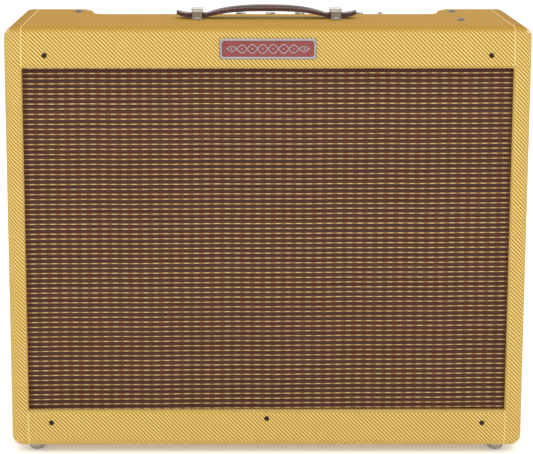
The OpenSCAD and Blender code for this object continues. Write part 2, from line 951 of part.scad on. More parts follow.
module tube_electrodes() {
    low = tray_z - 2 - octal_base[1];
    color([0.35, 0.35, 0.37]) {
        for (x = small_tubes_at) plates(x, tray_z - 1.5, 13, 9, 22);
        for (x = power_tubes_at) plates(x, low, 22, 15, 42);
        for (x = rectifier_tubes_at) plates(x, low, 26, 16, 52);
    }
}

// Core of stacked sheets with a cover over the winding on each side, on the chassis wall.
module transformer(x, z, width, height, stack, bell) {
    back = chassis_y;
    translate([x, back - bell - stack / 2 - 1, z]) {
        cube([width, stack, height], center = true);
        for (side = [-1, 1]) translate([0, side * (stack / 2 + bell / 2 - eps), 0]) rotate([90, 0, 0])
            round_prism(width - 12, height - 10, 8, bell);
        for (cx = [-1, 1], cz = [-1, 1])
            translate([cx * (width / 2 - 5), -stack / 2 - 3, cz * (height / 2 - 5)]) along_y()
                cylinder(r = 2.5, h = stack + bell + 4);
    }
}

module power_transformer() {
    color([0.12, 0.12, 0.13]) transformer(transformer_x, transformer_z, 96, 80, 50, 22);
}

module output_transformer() {
    color([0.12, 0.12, 0.13]) transformer(118, panel_z - 48, 76, 64, 34, 14);
}

module choke() {
    color([0.12, 0.12, 0.13]) transformer(48, panel_z - 40, 50, 42, 20, 10);
}

// ---------------------------------------------------------------- speakers

// Puts children in a speaker's own frame: Z runs back from the front of its flange.
module speaker_places() {
    for (s = speakers_at) translate([s[0], flange_y, s[1]]) along_y() children();
}

module one_speaker(which) {
    s = speakers_at[which];
    translate([s[0], flange_y, s[1]]) along_y() children();
}

module speaker_bolt_places() {
    for (i = [0:speaker_bolts_each - 1])
        rotate([0, 0, (i + 0.5) * 360 / speaker_bolts_each])
            translate([speaker_bolt_circle, 0, 0]) children();
}

module speaker_baskets() {
    wall = 2;
    rim_r = 134;
    neck_r = 50;
    ribs = 8;
    half = 180 / ribs - 7;
    color([0.3, 0.32, 0.34]) speaker_places() difference() {
        union() {
            tube(frame_r, rim_r - 2, 1.8);
            rotate_extrude($fn = 96) polygon([
                [rim_r, 1], [rim_r + wall, 1], [rim_r - 2, 12], [neck_r + 12, spider_z],
                [neck_r + 2, frame_depth], [coil_gap_r, frame_depth],
                [coil_gap_r, frame_depth - wall], [neck_r, frame_depth - wall],
                [neck_r + 3, spider_z + 1.5], [neck_r - 4, spider_z + 1.5], [neck_r - 4, spider_z],
                [neck_r + 3, spider_z], [neck_r + 8, spider_z - 3], [rim_r - 5, 12]
            ]);
        }
        for (i = [0:ribs - 1]) rotate([0, 0, (i + 0.5) * 360 / ribs])
            translate([0, 0, 15]) linear_extrude(38)
                polygon([
                    [50 * cos(half), 50 * sin(half)], [160 * cos(half), 160 * sin(half)],
                    [160 * cos(half), -160 * sin(half)], [50 * cos(half), -50 * sin(half)]
                ]);
        speaker_bolt_places() translate([0, 0, -1]) cylinder(r = 2.8, h = 5);
    }
}

module speaker_magnets() {
    color([0.35, 0.36, 0.38]) speaker_places() translate([0, 0, frame_depth]) difference() {
        union() {
            cylinder(r = magnet_r, h = magnet_depth - 6);
            translate([0, 0, magnet_depth - 6 - eps])
                cylinder(r1 = magnet_r, r2 = magnet_r - 5, h = 6);
        }
        translate([0, 0, -1]) tube(coil_gap_r, pole_r, 24);
    }
}

module speaker_gaskets() {
    color("tan") speaker_places() translate([0, 0, -3]) difference() {
        tube(frame_r, speaker_hole_r + 1, 3);
        speaker_bolt_places() translate([0, 0, -1]) cylinder(r = 2.8, h = 5);
    }
}

module speaker_bolts() {
    color("dimgray") speaker_places() speaker_bolt_places() {
        translate([0, 0, -3 - baffle + 1]) cylinder(r = 2.4, h = baffle + 12);
        translate([0, 0, 1.8]) cylinder(r = 4.6, h = 3.6, $fn = 6);
    }
}

module speaker_cone(which) {
    edge = 124;
    front = 2;
    wall = 0.9;
    rise = 0.5;
    cap_r = 24;
    tail = 80;
    inner = coil_r - 0.7;
    function cone_z(r) = front + (edge - r) * rise;
    color([0.16, 0.14, 0.12]) one_speaker(which) rotate_extrude($fn = 96) polygon([
        [edge, front], [edge, front + wall], [coil_r, cone_z(coil_r) + wall], [coil_r, tail],
        [inner, tail], [inner, cone_z(inner)], [cap_r - 1, cone_z(cap_r - 1)],
        // Dust cap, bulging to the front
        [14, cone_z(cap_r) - 6], [7, cone_z(cap_r) - 7.8], [0, cone_z(cap_r) - 8.4],
        [0, cone_z(cap_r) - 9.2], [7, cone_z(cap_r) - 8.6], [14.6, cone_z(cap_r) - 6.7],
        [cap_r + 1, cone_z(cap_r + 1)]
    ]);
}

module left_speaker_cone() {
    speaker_cone(0);
}

module right_speaker_cone() {
    speaker_cone(1);
}

module speaker_suspensions() {
    color([0.75, 0.6, 0.35]) speaker_places() {
        // Folded paper edge between the cone and the frame
        rotate_extrude($fn = 96) polygon([
            [124.3, 2], [126, 0.6], [128, 2], [130, 0.6], [131.6, 1], [131.6, 1.8], [130, 1.4],
            [128, 2.8], [126, 1.4], [124.3, 2.8]
        ]);
        // Spider that centres the coil
        rotate_extrude($fn = 96) polygon(concat(
            [for (i = [0:7]) [coil_r + 0.4 + i * 4, spider_z - 0.9 - (i % 2) * 0.9]],
            [[spider_end, spider_z - 0.9], [spider_end, spider_z - 0.1]],
            [for (i = [7:-1:0]) [coil_r + 0.4 + i * 4, spider_z - 0.2 - (i % 2) * 0.9]]
        ));
    }
}

// Point on a smooth curve through the route's points; t counts the points from 0.
function along(route, t) = let (
        last = len(route) - 1,
        i = min(floor(t), last - 1),
        u = t - i,
        a = route[max(i - 1, 0)], b = route[i], c = route[i + 1], d = route[min(i + 2, last)]
    ) (2 * b + (c - a) * u + (2 * a - 5 * b + 4 * c - d) * u * u
        + (3 * b - a - 3 * c + d) * u * u * u) / 2;

function unit(v) = v / norm(v);

// Round tube along a route, a ring of sides points at each of its rings.
module swept_tube(route, radius, rings, sides) {
    centres = [for (i = [0:rings]) along(route, i * (len(route) - 1) / rings)];
    function ahead(i) = unit(centres[min(i + 1, rings)] - centres[max(i - 1, 0)]);
    function across(i) = unit(cross(ahead(i), [1, 0, 0]));
    polyhedron(
        points = [for (i = [0:rings], j = [0:sides - 1]) let (a = 360 * j / sides)
            centres[i] + radius * (cos(a) * across(i) + sin(a) * cross(ahead(i), across(i)))],
        faces = concat(
            [[for (j = [sides - 1:-1:0]) j]],
            [[for (j = [0:sides - 1]) rings * sides + j]],
            [for (i = [0:rings - 1], j = [0:sides - 1]) let (k = (j + 1) % sides)
                [i * sides + j, i * sides + k, (i + 1) * sides + k, (i + 1) * sides + j]]
        )
    );
}

// Two-core leads from the chassis to both speakers, inside the box.
module speaker_lead() {
    color([0.2, 0.2, 0.2]) for (route = lead_routes) swept_tube(route, lead_r, 30, 8);
}

// ---------------------------------------------------------------- the nodes

cabinet_top();
cabinet_bottom();
cabinet_left();
cabinet_right();
front_upper_rail();
front_lower_rail();
baffle_board();
grille_cloth();
back_cleats();
tweed_cover();
upper_back_panel();
lower_back_panel();
back_panel_screws();
front_screws();
glide_feet();
handle_lower_strap();
handle_upper_pad();
handle_core();
handle_brackets();
handle_screws();
nameplate();
nameplate_nails();
chassis();
chassis_bolts();
transformer_bracket();
potentiometers();
input_jacks();
toggle_switches();
standby_lever();
power_lever();
pilot_bezel();
pilot_jewel();
fuse_holder();
fuse_cap();
circuit_board();
board_components();
filter_capacitors();
tube_sockets();
preamp_tubes();
power_tubes();
rectifier_tubes();
tube_bases();
tube_electrodes();
power_transformer();
output_transformer();
choke();
speaker_baskets();
speaker_magnets();
speaker_gaskets();
speaker_bolts();
left_speaker_cone();
right_speaker_cone();
speaker_suspensions();
speaker_lead();
cord_gland();
knob_1();
knob_2();
knob_3();
knob_4();
knob_5();
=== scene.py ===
"""Guitar combo amplifier: the looks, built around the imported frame. Lengths are metres."""

import math
import random

import bmesh
import bpy
from mathutils import Matrix, Vector


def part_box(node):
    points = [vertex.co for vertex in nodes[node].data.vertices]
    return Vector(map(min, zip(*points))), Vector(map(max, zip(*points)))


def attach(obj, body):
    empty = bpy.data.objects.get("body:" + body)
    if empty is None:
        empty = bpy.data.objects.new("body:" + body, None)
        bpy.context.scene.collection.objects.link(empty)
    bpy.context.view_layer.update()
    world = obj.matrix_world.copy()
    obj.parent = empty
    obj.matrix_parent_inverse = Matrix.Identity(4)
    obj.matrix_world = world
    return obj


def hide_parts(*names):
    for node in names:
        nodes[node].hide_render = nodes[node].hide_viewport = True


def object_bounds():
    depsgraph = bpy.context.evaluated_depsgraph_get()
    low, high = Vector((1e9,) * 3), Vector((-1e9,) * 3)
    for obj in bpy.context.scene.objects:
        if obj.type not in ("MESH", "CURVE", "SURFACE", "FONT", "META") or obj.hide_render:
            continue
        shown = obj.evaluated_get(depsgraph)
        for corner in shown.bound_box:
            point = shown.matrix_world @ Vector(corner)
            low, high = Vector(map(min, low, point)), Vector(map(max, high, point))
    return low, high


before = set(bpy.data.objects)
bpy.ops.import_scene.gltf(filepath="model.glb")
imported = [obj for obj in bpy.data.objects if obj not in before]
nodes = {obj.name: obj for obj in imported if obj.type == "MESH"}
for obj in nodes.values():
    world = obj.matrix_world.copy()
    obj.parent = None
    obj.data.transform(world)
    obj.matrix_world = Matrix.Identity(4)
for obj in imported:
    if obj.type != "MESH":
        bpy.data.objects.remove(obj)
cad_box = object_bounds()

MM = 0.001


def srgb(red, green, blue):
    """Linear colour of an 8-bit display colour."""
    def linear(value):
        c = value / 255
        return c / 12.92 if c <= 0.04045 else ((c + 0.055) / 1.055) ** 2.4
    return (linear(red), linear(green), linear(blue), 1.0)


# ------------------------------------------------------------------ places from the frame

cover_low, cover_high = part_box("tweed_cover")
WIDTH = cover_high.x - cover_low.x
FRONT = cover_low.y
BASE = cover_low.z
TOP = cover_high.z
BACK_LEAN = 23 * MM
# The leaning back's plane, carried down to the base, lies this far behind the CAD box
BACK_EXTRA = 0.25 * MM
BACK_LOW = cad_box[1][1] + BACK_EXTRA
SLOPE = math.atan2(BACK_LEAN, TOP - BASE)
EDGE = 12.7 * MM
SKIN = 0.9 * MM
cloth_low, cloth_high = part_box("grille_cloth")
CLOTH_Y = cloth_low.y
INNER = -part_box("cabinet_left")[1].x
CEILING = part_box("cabinet_top")[0].z
FLOOR_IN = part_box("cabinet_bottom")[1].z
OPEN_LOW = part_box("front_lower_rail")[1].z + SKIN
OPEN_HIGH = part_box("front_upper_rail")[0].z - SKIN
CHASSIS_SHEET = 1.6 * MM
RECESS_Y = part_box("chassis")[0].y + CHASSIS_SHEET
HANDLE_Y = sum(v.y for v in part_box("handle_core")) / 2
SEAM_INSET = 0.6 * MM
SEAM = INNER - SEAM_INSET


def back_y(z):
    """Depth of the sloping back plane at a height."""
    return BACK_LOW - (z - BASE) * math.tan(SLOPE)


# ------------------------------------------------------------------ camera and light

LENS = 135.0
SENSOR = 36.0
FRAME_SHIFT = 0.063
CAMERA_AT = (-0.0403, -2.4263, 0.7395)
CAMERA_DIP = 11.38
WORLD_LIGHT = 1.05
FLOOR_HALF = 6.0
FLOOR_GLOW = 0.25
AREA_LIGHTS = (
    # name, place, what it faces, size, watts
    ("key", (-1.3, -2.2, 1.9), (0, 0, 0.25), (1.6, 1.4), 5),
    ("fill", (1.9, -1.9, 1.0), (0, 0, 0.25), (1.6, 1.6), 3),
    ("overhead", (0.0, -1.7, 2.5), (0, -0.5, 0.0), (2.6, 1.4), 16),
    ("back", (0.3, 2.3, 1.7), (0, 0, 0.3), (1.8, 1.4), 6),
)


def add_camera():
    data = bpy.data.cameras.new("camera")
    data.lens = LENS
    data.sensor_width = SENSOR
    data.shift_x = FRAME_SHIFT
    data.clip_end = 50.0
    camera = bpy.data.objects.new("camera", data)
    camera.location = CAMERA_AT
    camera.rotation_euler = (math.radians(90 - CAMERA_DIP), 0, 0)
    bpy.context.scene.collection.objects.link(camera)
    bpy.context.scene.camera = camera


def add_area(name, location, target, size, power):
    data = bpy.data.lights.new(name, "AREA")
    data.shape = "RECTANGLE"
    data.size, data.size_y = size
    data.energy = power
    lamp = bpy.data.objects.new(name, data)
    lamp.location = location
    aim = Vector(target) - Vector(location)
    lamp.rotation_euler = aim.to_track_quat("-Z", "Y").to_euler()
    bpy.context.scene.collection.objects.link(lamp)


def add_studio():
    """White surroundings and soft lights, and the Standard view transform, which keeps white white."""
    world = bpy.data.worlds.new("studio")
    world.use_nodes = True
    background = world.node_tree.nodes["Background"]
    background.inputs["Color"].default_value = (1.0, 1.0, 1.0, 1.0)
    background.inputs["Strength"].default_value = WORLD_LIGHT
    bpy.context.scene.world = world
    bpy.context.scene.view_settings.view_transform = "Standard"
    for light in AREA_LIGHTS:
        add_area(*light)


def add_floor():
    """Pale floor, slightly luminous so that it stays white round the object."""
    h = FLOOR_HALF
    mesh = bpy.data.meshes.new("floor")
    mesh.from_pydata([(-h, -h, 0), (h, -h, 0), (h, h, 0), (-h, h, 0)], [], [(0, 1, 2, 3)])
    floor = bpy.data.objects.new("floor", mesh)
    bpy.context.scene.collection.objects.link(floor)
    paint = Shader("floor_paint")
    grain = paint.noise(paint.place(), 3.0, 2.0)
    paint.colour(paint.mix(grain, (0.93, 0.93, 0.93, 1), (0.96, 0.96, 0.96, 1)))
    paint.set("Roughness", 0.9)
    paint.set("Emission Color", (1.0, 1.0, 1.0, 1.0))
    paint.set("Emission Strength", FLOOR_GLOW)
    mesh.materials.append(paint.material)


# ------------------------------------------------------------------ materials

class Value:
    """An output of a shader node, which the arithmetic signs work on."""

    def __init__(self, shader, socket):
        self.shader = shader
        self.socket = socket

    def __add__(self, other):
        return self.shader.math("ADD", self, other)

    def __sub__(self, other):
        return self.shader.math("SUBTRACT", self, other)

    def __rsub__(self, other):
        return self.shader.math("SUBTRACT", other, self)

    def __mul__(self, other):
        return self.shader.math("MULTIPLY", self, other)

    def __truediv__(self, other):
        return self.shader.math("DIVIDE", self, other)

    def __lt__(self, other):
        return self.shader.math("LESS_THAN", self, other)

    def __abs__(self):
        return self.shader.math("ABSOLUTE", self)

    def floor(self):
        return self.shader.math("FLOOR", self)

    def fract(self):
        return self.shader.math("FRACT", self)

    def bulge(self, depth):
        """Rounded back of a thread: one at its middle, falling off as the square."""
        return 1.0 - self * self * depth


class Shader:
    """Builds one node material around a Principled surface."""

    def __init__(self, name):
        self.material = bpy.data.materials.new(name)
        self.material.use_nodes = True
        self.tree = self.material.node_tree
        self.surface = self.tree.nodes["Principled BSDF"]

    def node(self, kind, *values, **settings):
        """A node with its settings made and its first sockets filled."""
        made = self.tree.nodes.new(kind)
        for key, value in settings.items():
            setattr(made, key, value)
        for i, value in enumerate(values):
            self.put(made.inputs[i], value)
        return made

    def out(self, node, which=0):
        return Value(self, node.outputs[which])

    def put(self, socket, value):
        if isinstance(value, Value):
            self.tree.links.new(value.socket, socket)
        else:
            socket.default_value = value

    def set(self, name, value):
        self.put(self.surface.inputs[name], value)

    def colour(self, value):
        self.set("Base Color", value)

    def math(self, operation, *values):
        return self.out(self.node("ShaderNodeMath", *values, operation=operation))

    def mix(self, factor, a, b, blend="MIX"):
        made = self.node("ShaderNodeMix", factor, data_type="RGBA", blend_type=blend)
        self.put(made.inputs[6], a)
        self.put(made.inputs[7], b)
        return self.out(made, 2)

    def ramp(self, value, low, high, to_low=0.0, to_high=1.0):
        return self.out(self.node("ShaderNodeMapRange", value, low, high, to_low, to_high, clamp=True))

    def place(self):
        """Position in the row frame, in metres."""
        return self.out(self.node("ShaderNodeTexCoord"), "Object")

    def axes(self, vector):
        made = self.node("ShaderNodeSeparateXYZ", vector)
        return [self.out(made, i) for i in range(3)]

    def vector(self, x=0.0, y=0.0, z=0.0):
        return self.out(self.node("ShaderNodeCombineXYZ", x, y, z))

    def scaled(self, vector, factors):
        return self.out(self.node("ShaderNodeVectorMath", vector, factors, operation="MULTIPLY"))

    def uv(self):
        """Place on the flat cloth, in metres."""
        return self.axes(self.out(self.node("ShaderNodeUVMap", uv_map="cloth")))[:2]

    def noise(self, vector, scale, detail=2.0, rough=0.5, warp=0.0):
        made = self.node("ShaderNodeTexNoise")
        self.put(made.inputs["Vector"], vector)
        made.inputs["Scale"].default_value = scale
        made.inputs["Detail"].default_value = detail
        made.inputs["Roughness"].default_value = rough
        made.inputs["Distortion"].default_value = warp
        return self.out(made, "Fac")

    def grains(self, vector, scale, feature="F1"):
        made = self.node("ShaderNodeTexVoronoi", feature=feature)
        self.put(made.inputs["Vector"], vector)
        made.inputs["Scale"].default_value = scale
        return self.out(made, "Distance")

    def chance(self, value):
        """A fixed random number from 0 to 1 for each whole value."""
        made = self.node("ShaderNodeTexWhiteNoise", noise_dimensions="1D")
        self.put(made.inputs["W"], value)
        return self.out(made, "Value")

    def bump(self, height, distance, strength=1.0):
        made = self.node("ShaderNodeBump")
        made.inputs["Strength"].default_value = strength
        made.inputs["Distance"].default_value = distance
        self.put(made.inputs["Height"], height)
        self.tree.links.new(made.outputs[0], self.surface.inputs["Normal"])


THREAD = 0.5925 * MM
THREADS_IN_TWILL = 8.0
# Depths under the top over which the painted top shade fades in
TOP_SHADE_BLEND = (7 * MM, 0.6 * MM)


def tweed_material(name, shade=1.0):
    """Diagonal twill: eight threads to a repeat, four light floats and four dark ones."""
    s = Shader(name)
    u, v = s.uv()
    cloth = s.vector(u, v)
    v = v + (s.noise(cloth, 9.0, 1.0) - 0.5) * (3.2 * MM)
    across = u / THREAD
    along = v / THREAD
    column = across.floor()
    row = along.floor()
    phase = ((column + row) / THREADS_IN_TWILL).fract()
    light = phase < 0.5
    dim = 1.0 - light
    offset = (across.fract() - 0.5) * light + (along.fract() - 0.5) * dim
    round_top = offset.bulge(3.4)
    # Each float swells at its middle and dives at its ends
    swell = s.math("SINE", (phase * 2.0).fract() * math.pi)
    height = round_top * (swell * 0.45 + 0.55) * (light * 0.3 + 0.7)
    fibre = s.noise(cloth, 2600.0, 2.0, 0.6)
    yarn = s.chance(column * light + (row + 9000.0) * dim)
    pale = s.mix(yarn, srgb(232, 208, 122), srgb(240, 218, 138))
    dark = s.mix(yarn, srgb(150, 108, 40), srgb(170, 128, 54))
    base = s.mix(light, dark, pale)
    # Painted shade: the creases between the threads are painted darker
    base = s.mix(s.ramp(round_top, 0.15, 0.75, 0.55, 0.0), base, srgb(134, 92, 30))
    base = s.mix(s.ramp(fibre, 0.3, 0.7, 0.0, 0.18), base, srgb(196, 156, 78))
    age = s.noise(s.place(), 7.0, 4.0, 0.6, 0.4)
    base = s.mix(s.ramp(age, 0.42, 0.72, 0.0, 0.16), base, srgb(188, 146, 64))
    slub = s.noise(s.scaled(cloth, (60.0, 900.0, 1.0)), 1.0, 1.0)
    base = s.mix(s.ramp(slub, 0.68, 0.8, 0.0, 0.25), base, srgb(240, 222, 160))
    # Painted shade: the top face is painted darker and yellower than the front and sides
    height_above = s.axes(s.place())[2]
    painted_top_shade = s.ramp(height_above, TOP - TOP_SHADE_BLEND[0], TOP - TOP_SHADE_BLEND[1], 0.0, 0.86)
    base = s.mix(painted_top_shade, base, srgb(174, 128, 26))
    # Painted shade: a shade below one makes a darker copy of the twill
    if shade != 1.0:
        base = s.mix(1.0, base, (shade, shade * 0.96, shade * 0.88, 1.0), "MULTIPLY")
    s.colour(base)
    s.set("Roughness", s.ramp(fibre, 0.2, 0.8, 0.6, 0.8))
    s.set("Specular IOR Level", 0.1)
    s.bump(height + fibre * 0.35, 0.28 * MM, 0.7)
    return s.material


LINE_PITCH = 5.91 * MM
DASH_PITCH = 12.0 * MM
WARP_PITCH = 0.95 * MM
THREADS_IN_LINE = 8.0


def grille_material():
    """Dark red cloth with a gold line every repeat and dashes that line up in columns."""
    s = Shader("grille_weave")
    u, v = s.uv()
    repeat = v / LINE_PITCH
    line = repeat.floor()
    at = repeat.fract()
    jitter = s.noise(s.vector(u, line), 14.0, 1.0) * 0.35
    bright = (u / DASH_PITCH + jitter).fract() < 0.5
    gold = abs(at - 0.5) < 0.105
    thread = at * THREADS_IN_LINE
    thread_row = thread.floor()
    crown_of_thread = (thread.fract() - 0.5).bulge(3.6)
    bead_of_warp = ((u / WARP_PITCH + thread_row * 0.5).fract() - 0.5).bulge(2.4)
    weave = crown_of_thread * bead_of_warp
    shade = s.chance(line * THREADS_IN_LINE + thread_row)
    fibre = s.noise(s.vector(u, v), 1900.0, 2.0, 0.6)
    brown = s.mix(shade, srgb(54, 27, 25), srgb(78, 46, 41))
    parity = (thread_row * 0.5).fract()
    lit = abs(bright - parity * 2.0) < 0.5
    brown = s.mix(lit * 0.45, brown, srgb(104, 76, 66))
    tan = s.mix(bright, srgb(176, 128, 66), srgb(226, 198, 132))
    tan = s.mix(shade * 0.25, tan, srgb(150, 104, 58))
    base = s.mix(gold, brown, tan)
    # Painted shade: the gaps between the threads are painted nearly black
    base = s.mix(s.ramp(weave, 0.1, 0.7, 0.6, 0.0), base, srgb(34, 15, 13))
    base = s.mix(s.ramp(fibre, 0.35, 0.7, 0.0, 0.2), base, srgb(100, 66, 50))
    s.colour(base)
    s.set("Roughness", 0.82)
    s.set("Specular IOR Level", 0.15)
    s.bump(weave + gold * 0.5 + fibre * 0.3, 0.3 * MM, 0.8)
    return s.material


def leather_material():
    s = Shader("leather_hide")
    p = s.place()
    pores = s.grains(p, 900.0)
    fold = s.noise(p, 160.0, 4.0, 0.6, 0.8)
    patch = s.noise(p, 22.0, 3.0, 0.5)
    base = s.mix(patch, srgb(56, 25, 17), srgb(80, 42, 31))
    base = s.mix(s.ramp(pores, 0.05, 0.4, 0.45, 0.0), base, srgb(38, 18, 13))
    worn = s.ramp(s.noise(p, 60.0, 3.0), 0.56, 0.72, 0.0, 0.35)
    base = s.mix(worn, base, srgb(112, 74, 60))
    s.colour(base)
    s.set("Roughness", s.ramp(fold, 0.3, 0.7, 0.34, 0.52))
    s.set("Coat Weight", 0.15)
    s.set("Coat Roughness", 0.3)
    s.bump(pores * 0.6 + fold, 0.25 * MM, 0.55)
    return s.material


def thread_material(name, tint_a, tint_b):
    """Twisted thread in two 8-bit colours."""
    s = Shader(name)
    wave = s.node("ShaderNodeTexWave", wave_type="BANDS", bands_direction="DIAGONAL")
    s.put(wave.inputs["Vector"], s.place())
    wave.inputs["Scale"].default_value = 700.0
    twist = s.out(wave, "Fac")
    s.colour(s.mix(twist, srgb(*tint_a), srgb(*tint_b)))
    s.set("Roughness", 0.75)
    s.bump(twist, 0.1 * MM, 0.6)
    return s.material


def metal_material(name, tint_a, tint_b, rough, speck=0.0, brushed=(1.0, 1.0, 1.0)):
    """Plated or bare metal with handling marks; brushed stretches its grain along an axis."""
    s = Shader(name)
    p = s.place()
    grain = s.noise(s.scaled(p, brushed), 240.0, 3.0, 0.6)
    base = s.mix(s.noise(p, 26.0, 3.0, 0.6), srgb(*tint_a), srgb(*tint_b))
    if speck:
        pits = s.ramp(s.noise(p, 700.0, 2.0), 0.62, 0.75, 0.0, speck)
        base = s.mix(pits, base, srgb(70, 62, 52))
    s.colour(base)
    s.set("Metallic", 1.0)
    s.set("Roughness", s.ramp(grain, 0.25, 0.75, rough * 0.7, rough * 1.4))
    s.bump(grain, 0.03 * MM, 0.25)
    return s.material


def paint_material(name, tint_a, tint_b, rough=0.4, scale=300.0, depth=0.08 * MM, coat=0.0):
    """Enamel, moulded plastic or lacquer with a fine uneven skin."""
    s = Shader(name)
    p = s.place()
    cloud = s.noise(p, 30.0, 3.0, 0.6)
    skin = s.noise(p, scale, 3.0, 0.55)
    dust = s.ramp(s.noise(p, 55.0, 4.0, 0.65), 0.58, 0.8, 0.0, 0.12)
    s.colour(s.mix(dust, s.mix(cloud, srgb(*tint_a), srgb(*tint_b)), srgb(150, 144, 132)))
    s.set("Roughness", s.ramp(skin, 0.3, 0.7, rough * 0.8, rough * 1.25))
    s.set("Coat Weight", coat)
    s.bump(skin, depth, 0.4)
    return s.material


def hammered_material():
    s = Shader("hammered_paint")
    p = s.place()
    cells = s.grains(p, 330.0, "SMOOTH_F1")
    base = s.mix(s.noise(p, 24.0, 2.0), srgb(98, 104, 108), srgb(124, 128, 130))
    s.colour(s.mix(s.ramp(cells, 0.2, 0.7, 0.0, 0.5), base, srgb(66, 70, 74)))
    s.set("Metallic", 0.6)
    s.set("Roughness", 0.36)
    s.bump(cells, 0.3 * MM, 0.5)
    return s.material


def pine_material():
    """Growth rings of a trunk that lies along X, cut by the boards."""
    s = Shader("raw_pine")
    x, y, z = s.axes(s.place())
    sway = s.noise(s.vector(x * 0.25, y, z), 9.0, 3.0, 0.5)
    ring = (y + z * 0.6) * 150.0 + sway * 12.0
    late = s.math("POWER", ring.fract(), 3.0)
    fibre = s.noise(s.scaled(s.place(), (0.06, 1.0, 1.0)), 900.0, 3.0, 0.6)
    base = s.mix(late, srgb(226, 192, 140), srgb(188, 136, 80))
    s.colour(s.mix(s.ramp(fibre, 0.35, 0.7, 0.0, 0.3), base, srgb(206, 164, 110)))
    s.set("Roughness", 0.72)
    s.bump(late + fibre, 0.12 * MM, 0.4)
    return s.material


def plywood_material():
    s = Shader("ply_face")
    flame = s.noise(s.scaled(s.place(), (0.25, 1.0, 1.0)), 16.0, 4.0, 0.55, 2.2)
    band = (flame * 9.0).fract()
    fibre = s.noise(s.scaled(s.place(), (0.05, 1.0, 1.0)), 1100.0, 3.0, 0.6)
    base = s.mix(band, srgb(176, 136, 88), srgb(148, 106, 62))
    s.colour(s.mix(s.ramp(fibre, 0.35, 0.7, 0.0, 0.35), base, srgb(196, 158, 112)))
    s.set("Roughness", 0.75)
    s.bump(fibre, 0.1 * MM, 0.4)
    return s.material


def cone_material():
    """Felted paper with the fine fibres of a pressed cone."""
    s = Shader("cone_paper")
    p = s.place()
    fibre = s.noise(p, 420.0, 4.0, 0.7, 1.2)
    base = s.mix(s.noise(p, 18.0, 3.0), srgb(48, 44, 41), srgb(64, 58, 53))
    s.colour(s.mix(s.ramp(fibre, 0.5, 0.75, 0.0, 0.5), base, srgb(96, 88, 78)))
    s.set("Roughness", 0.9)
    s.bump(fibre, 0.2 * MM, 0.6)
    return s.material


def glass_material():
    """Clear glass with faint smears; its IOR is lower than real glass has."""
    s = Shader("bulb_glass")
    smear = s.noise(s.place(), 40.0, 3.0)
    s.colour(s.mix(smear, srgb(232, 238, 240), srgb(240, 244, 246)))
    s.set("Transmission Weight", 1.0)
    s.set("IOR", 1.15)
    s.set("Roughness", s.ramp(smear, 0.4, 0.7, 0.02, 0.08))
    return s.material


def jewel_material():
    s = Shader("red_jewel")
    depth = s.noise(s.place(), 260.0, 2.0)
    s.colour(s.mix(depth, srgb(150, 8, 10), srgb(206, 24, 20)))
    s.set("Transmission Weight", 0.5)
    s.set("Roughness", 0.06)
    s.set("Coat Weight", 0.6)
    s.set("Emission Color", (0.5, 0.01, 0.01, 1.0))
    s.set("Emission Strength", 0.15)
    return s.material


# ------------------------------------------------------------------ mesh tools

def smooth(obj, degrees=35):
    obj.data.shade_smooth()
    obj.data.set_sharp_from_angle(angle=math.radians(degrees))


def make_piece(name, verts, faces, material, body="cabinet", degrees=35):
    """A new mesh in the row frame that rides on a CAD body."""
    mesh = bpy.data.meshes.new(name)
    mesh.from_pydata([tuple(v) for v in verts], [], faces)
    form = bmesh.new()
    form.from_mesh(mesh)
    bmesh.ops.remove_doubles(form, verts=form.verts, dist=1e-7)
    bmesh.ops.recalc_face_normals(form, faces=form.faces)
    form.to_mesh(mesh)
    form.free()
    obj = bpy.data.objects.new(name, mesh)
    bpy.context.scene.collection.objects.link(obj)
    mesh.materials.append(material)
    smooth(obj, degrees)
    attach(obj, body)
    return obj


def bake_modifiers(obj):
    graph = bpy.context.evaluated_depsgraph_get()
    made = bpy.data.meshes.new_from_object(obj.evaluated_get(graph))
    obj.modifiers.clear()
    obj.data = made


def ring_faces(rings, size, closed=True, caps=True):
    """Faces that join rings of the same size one after another."""
    faces = []
    last = size if closed else size - 1
    for i in range(rings - 1):
        for j in range(last):
            k = (j + 1) % size
            faces.append((i * size + j, i * size + k, (i + 1) * size + k, (i + 1) * size + j))
    if caps:
        faces.append(tuple(range(size - 1, -1, -1)))
        faces.append(tuple((rings - 1) * size + j for j in range(size)))
    return faces


def lathe(profile, segments=64):
    """Points and faces of a closed outline of (radius, height) turned round Z."""
    verts, faces = [], []
    for j in range(segments):
        angle = 2 * math.pi * j / segments
        for radius, height in profile:
            verts.append(Vector((radius * math.cos(angle), radius * math.sin(angle), height)))
    size = len(profile)
    for j in range(segments):
        k = (j + 1) % segments
        for i in range(size):
            n = (i + 1) % size
            if profile[i][0] == 0 and profile[n][0] == 0:
                continue
            faces.append((j * size + i, k * size + i, k * size + n, j * size + n))
    return verts, faces


def turned(profile, segments=64):
    """A closed outline of (radius, height) in millimetres turned round Z."""
    return lathe([(radius * MM, height * MM) for radius, height in profile], segments)


def placed(verts, matrix):
    return [matrix @ Vector(v) for v in verts]


def joined(parts):
    """One list of points and faces from several."""
    verts, faces = [], []
    for part_verts, part_faces in parts:
        start = len(verts)
        verts += list(part_verts)
        faces += [tuple(i + start for i in face) for face in part_faces]
    return verts, faces


ALONG_Y = Matrix.Rotation(math.radians(-90), 4, "X")
FACING_FRONT = Matrix.Rotation(math.radians(90), 4, "X")


# ------------------------------------------------------------------ tweed covering

LIP = 2.6 * MM
RECESS_HALF = 215 * MM
RECESS_BACK_HALF = 228 * MM
RECESS_FILLET = 20 * MM


def leaned(p):
    """Leans the back of the box forward towards its top."""
    start = FRONT + EDGE
    share = min(max((p[1] - start) / (BACK_LOW - start), 0.0), 1.0)
    return Vector((p[0], p[1] - (p[2] - BASE) * math.tan(SLOPE) * share, p[2]))


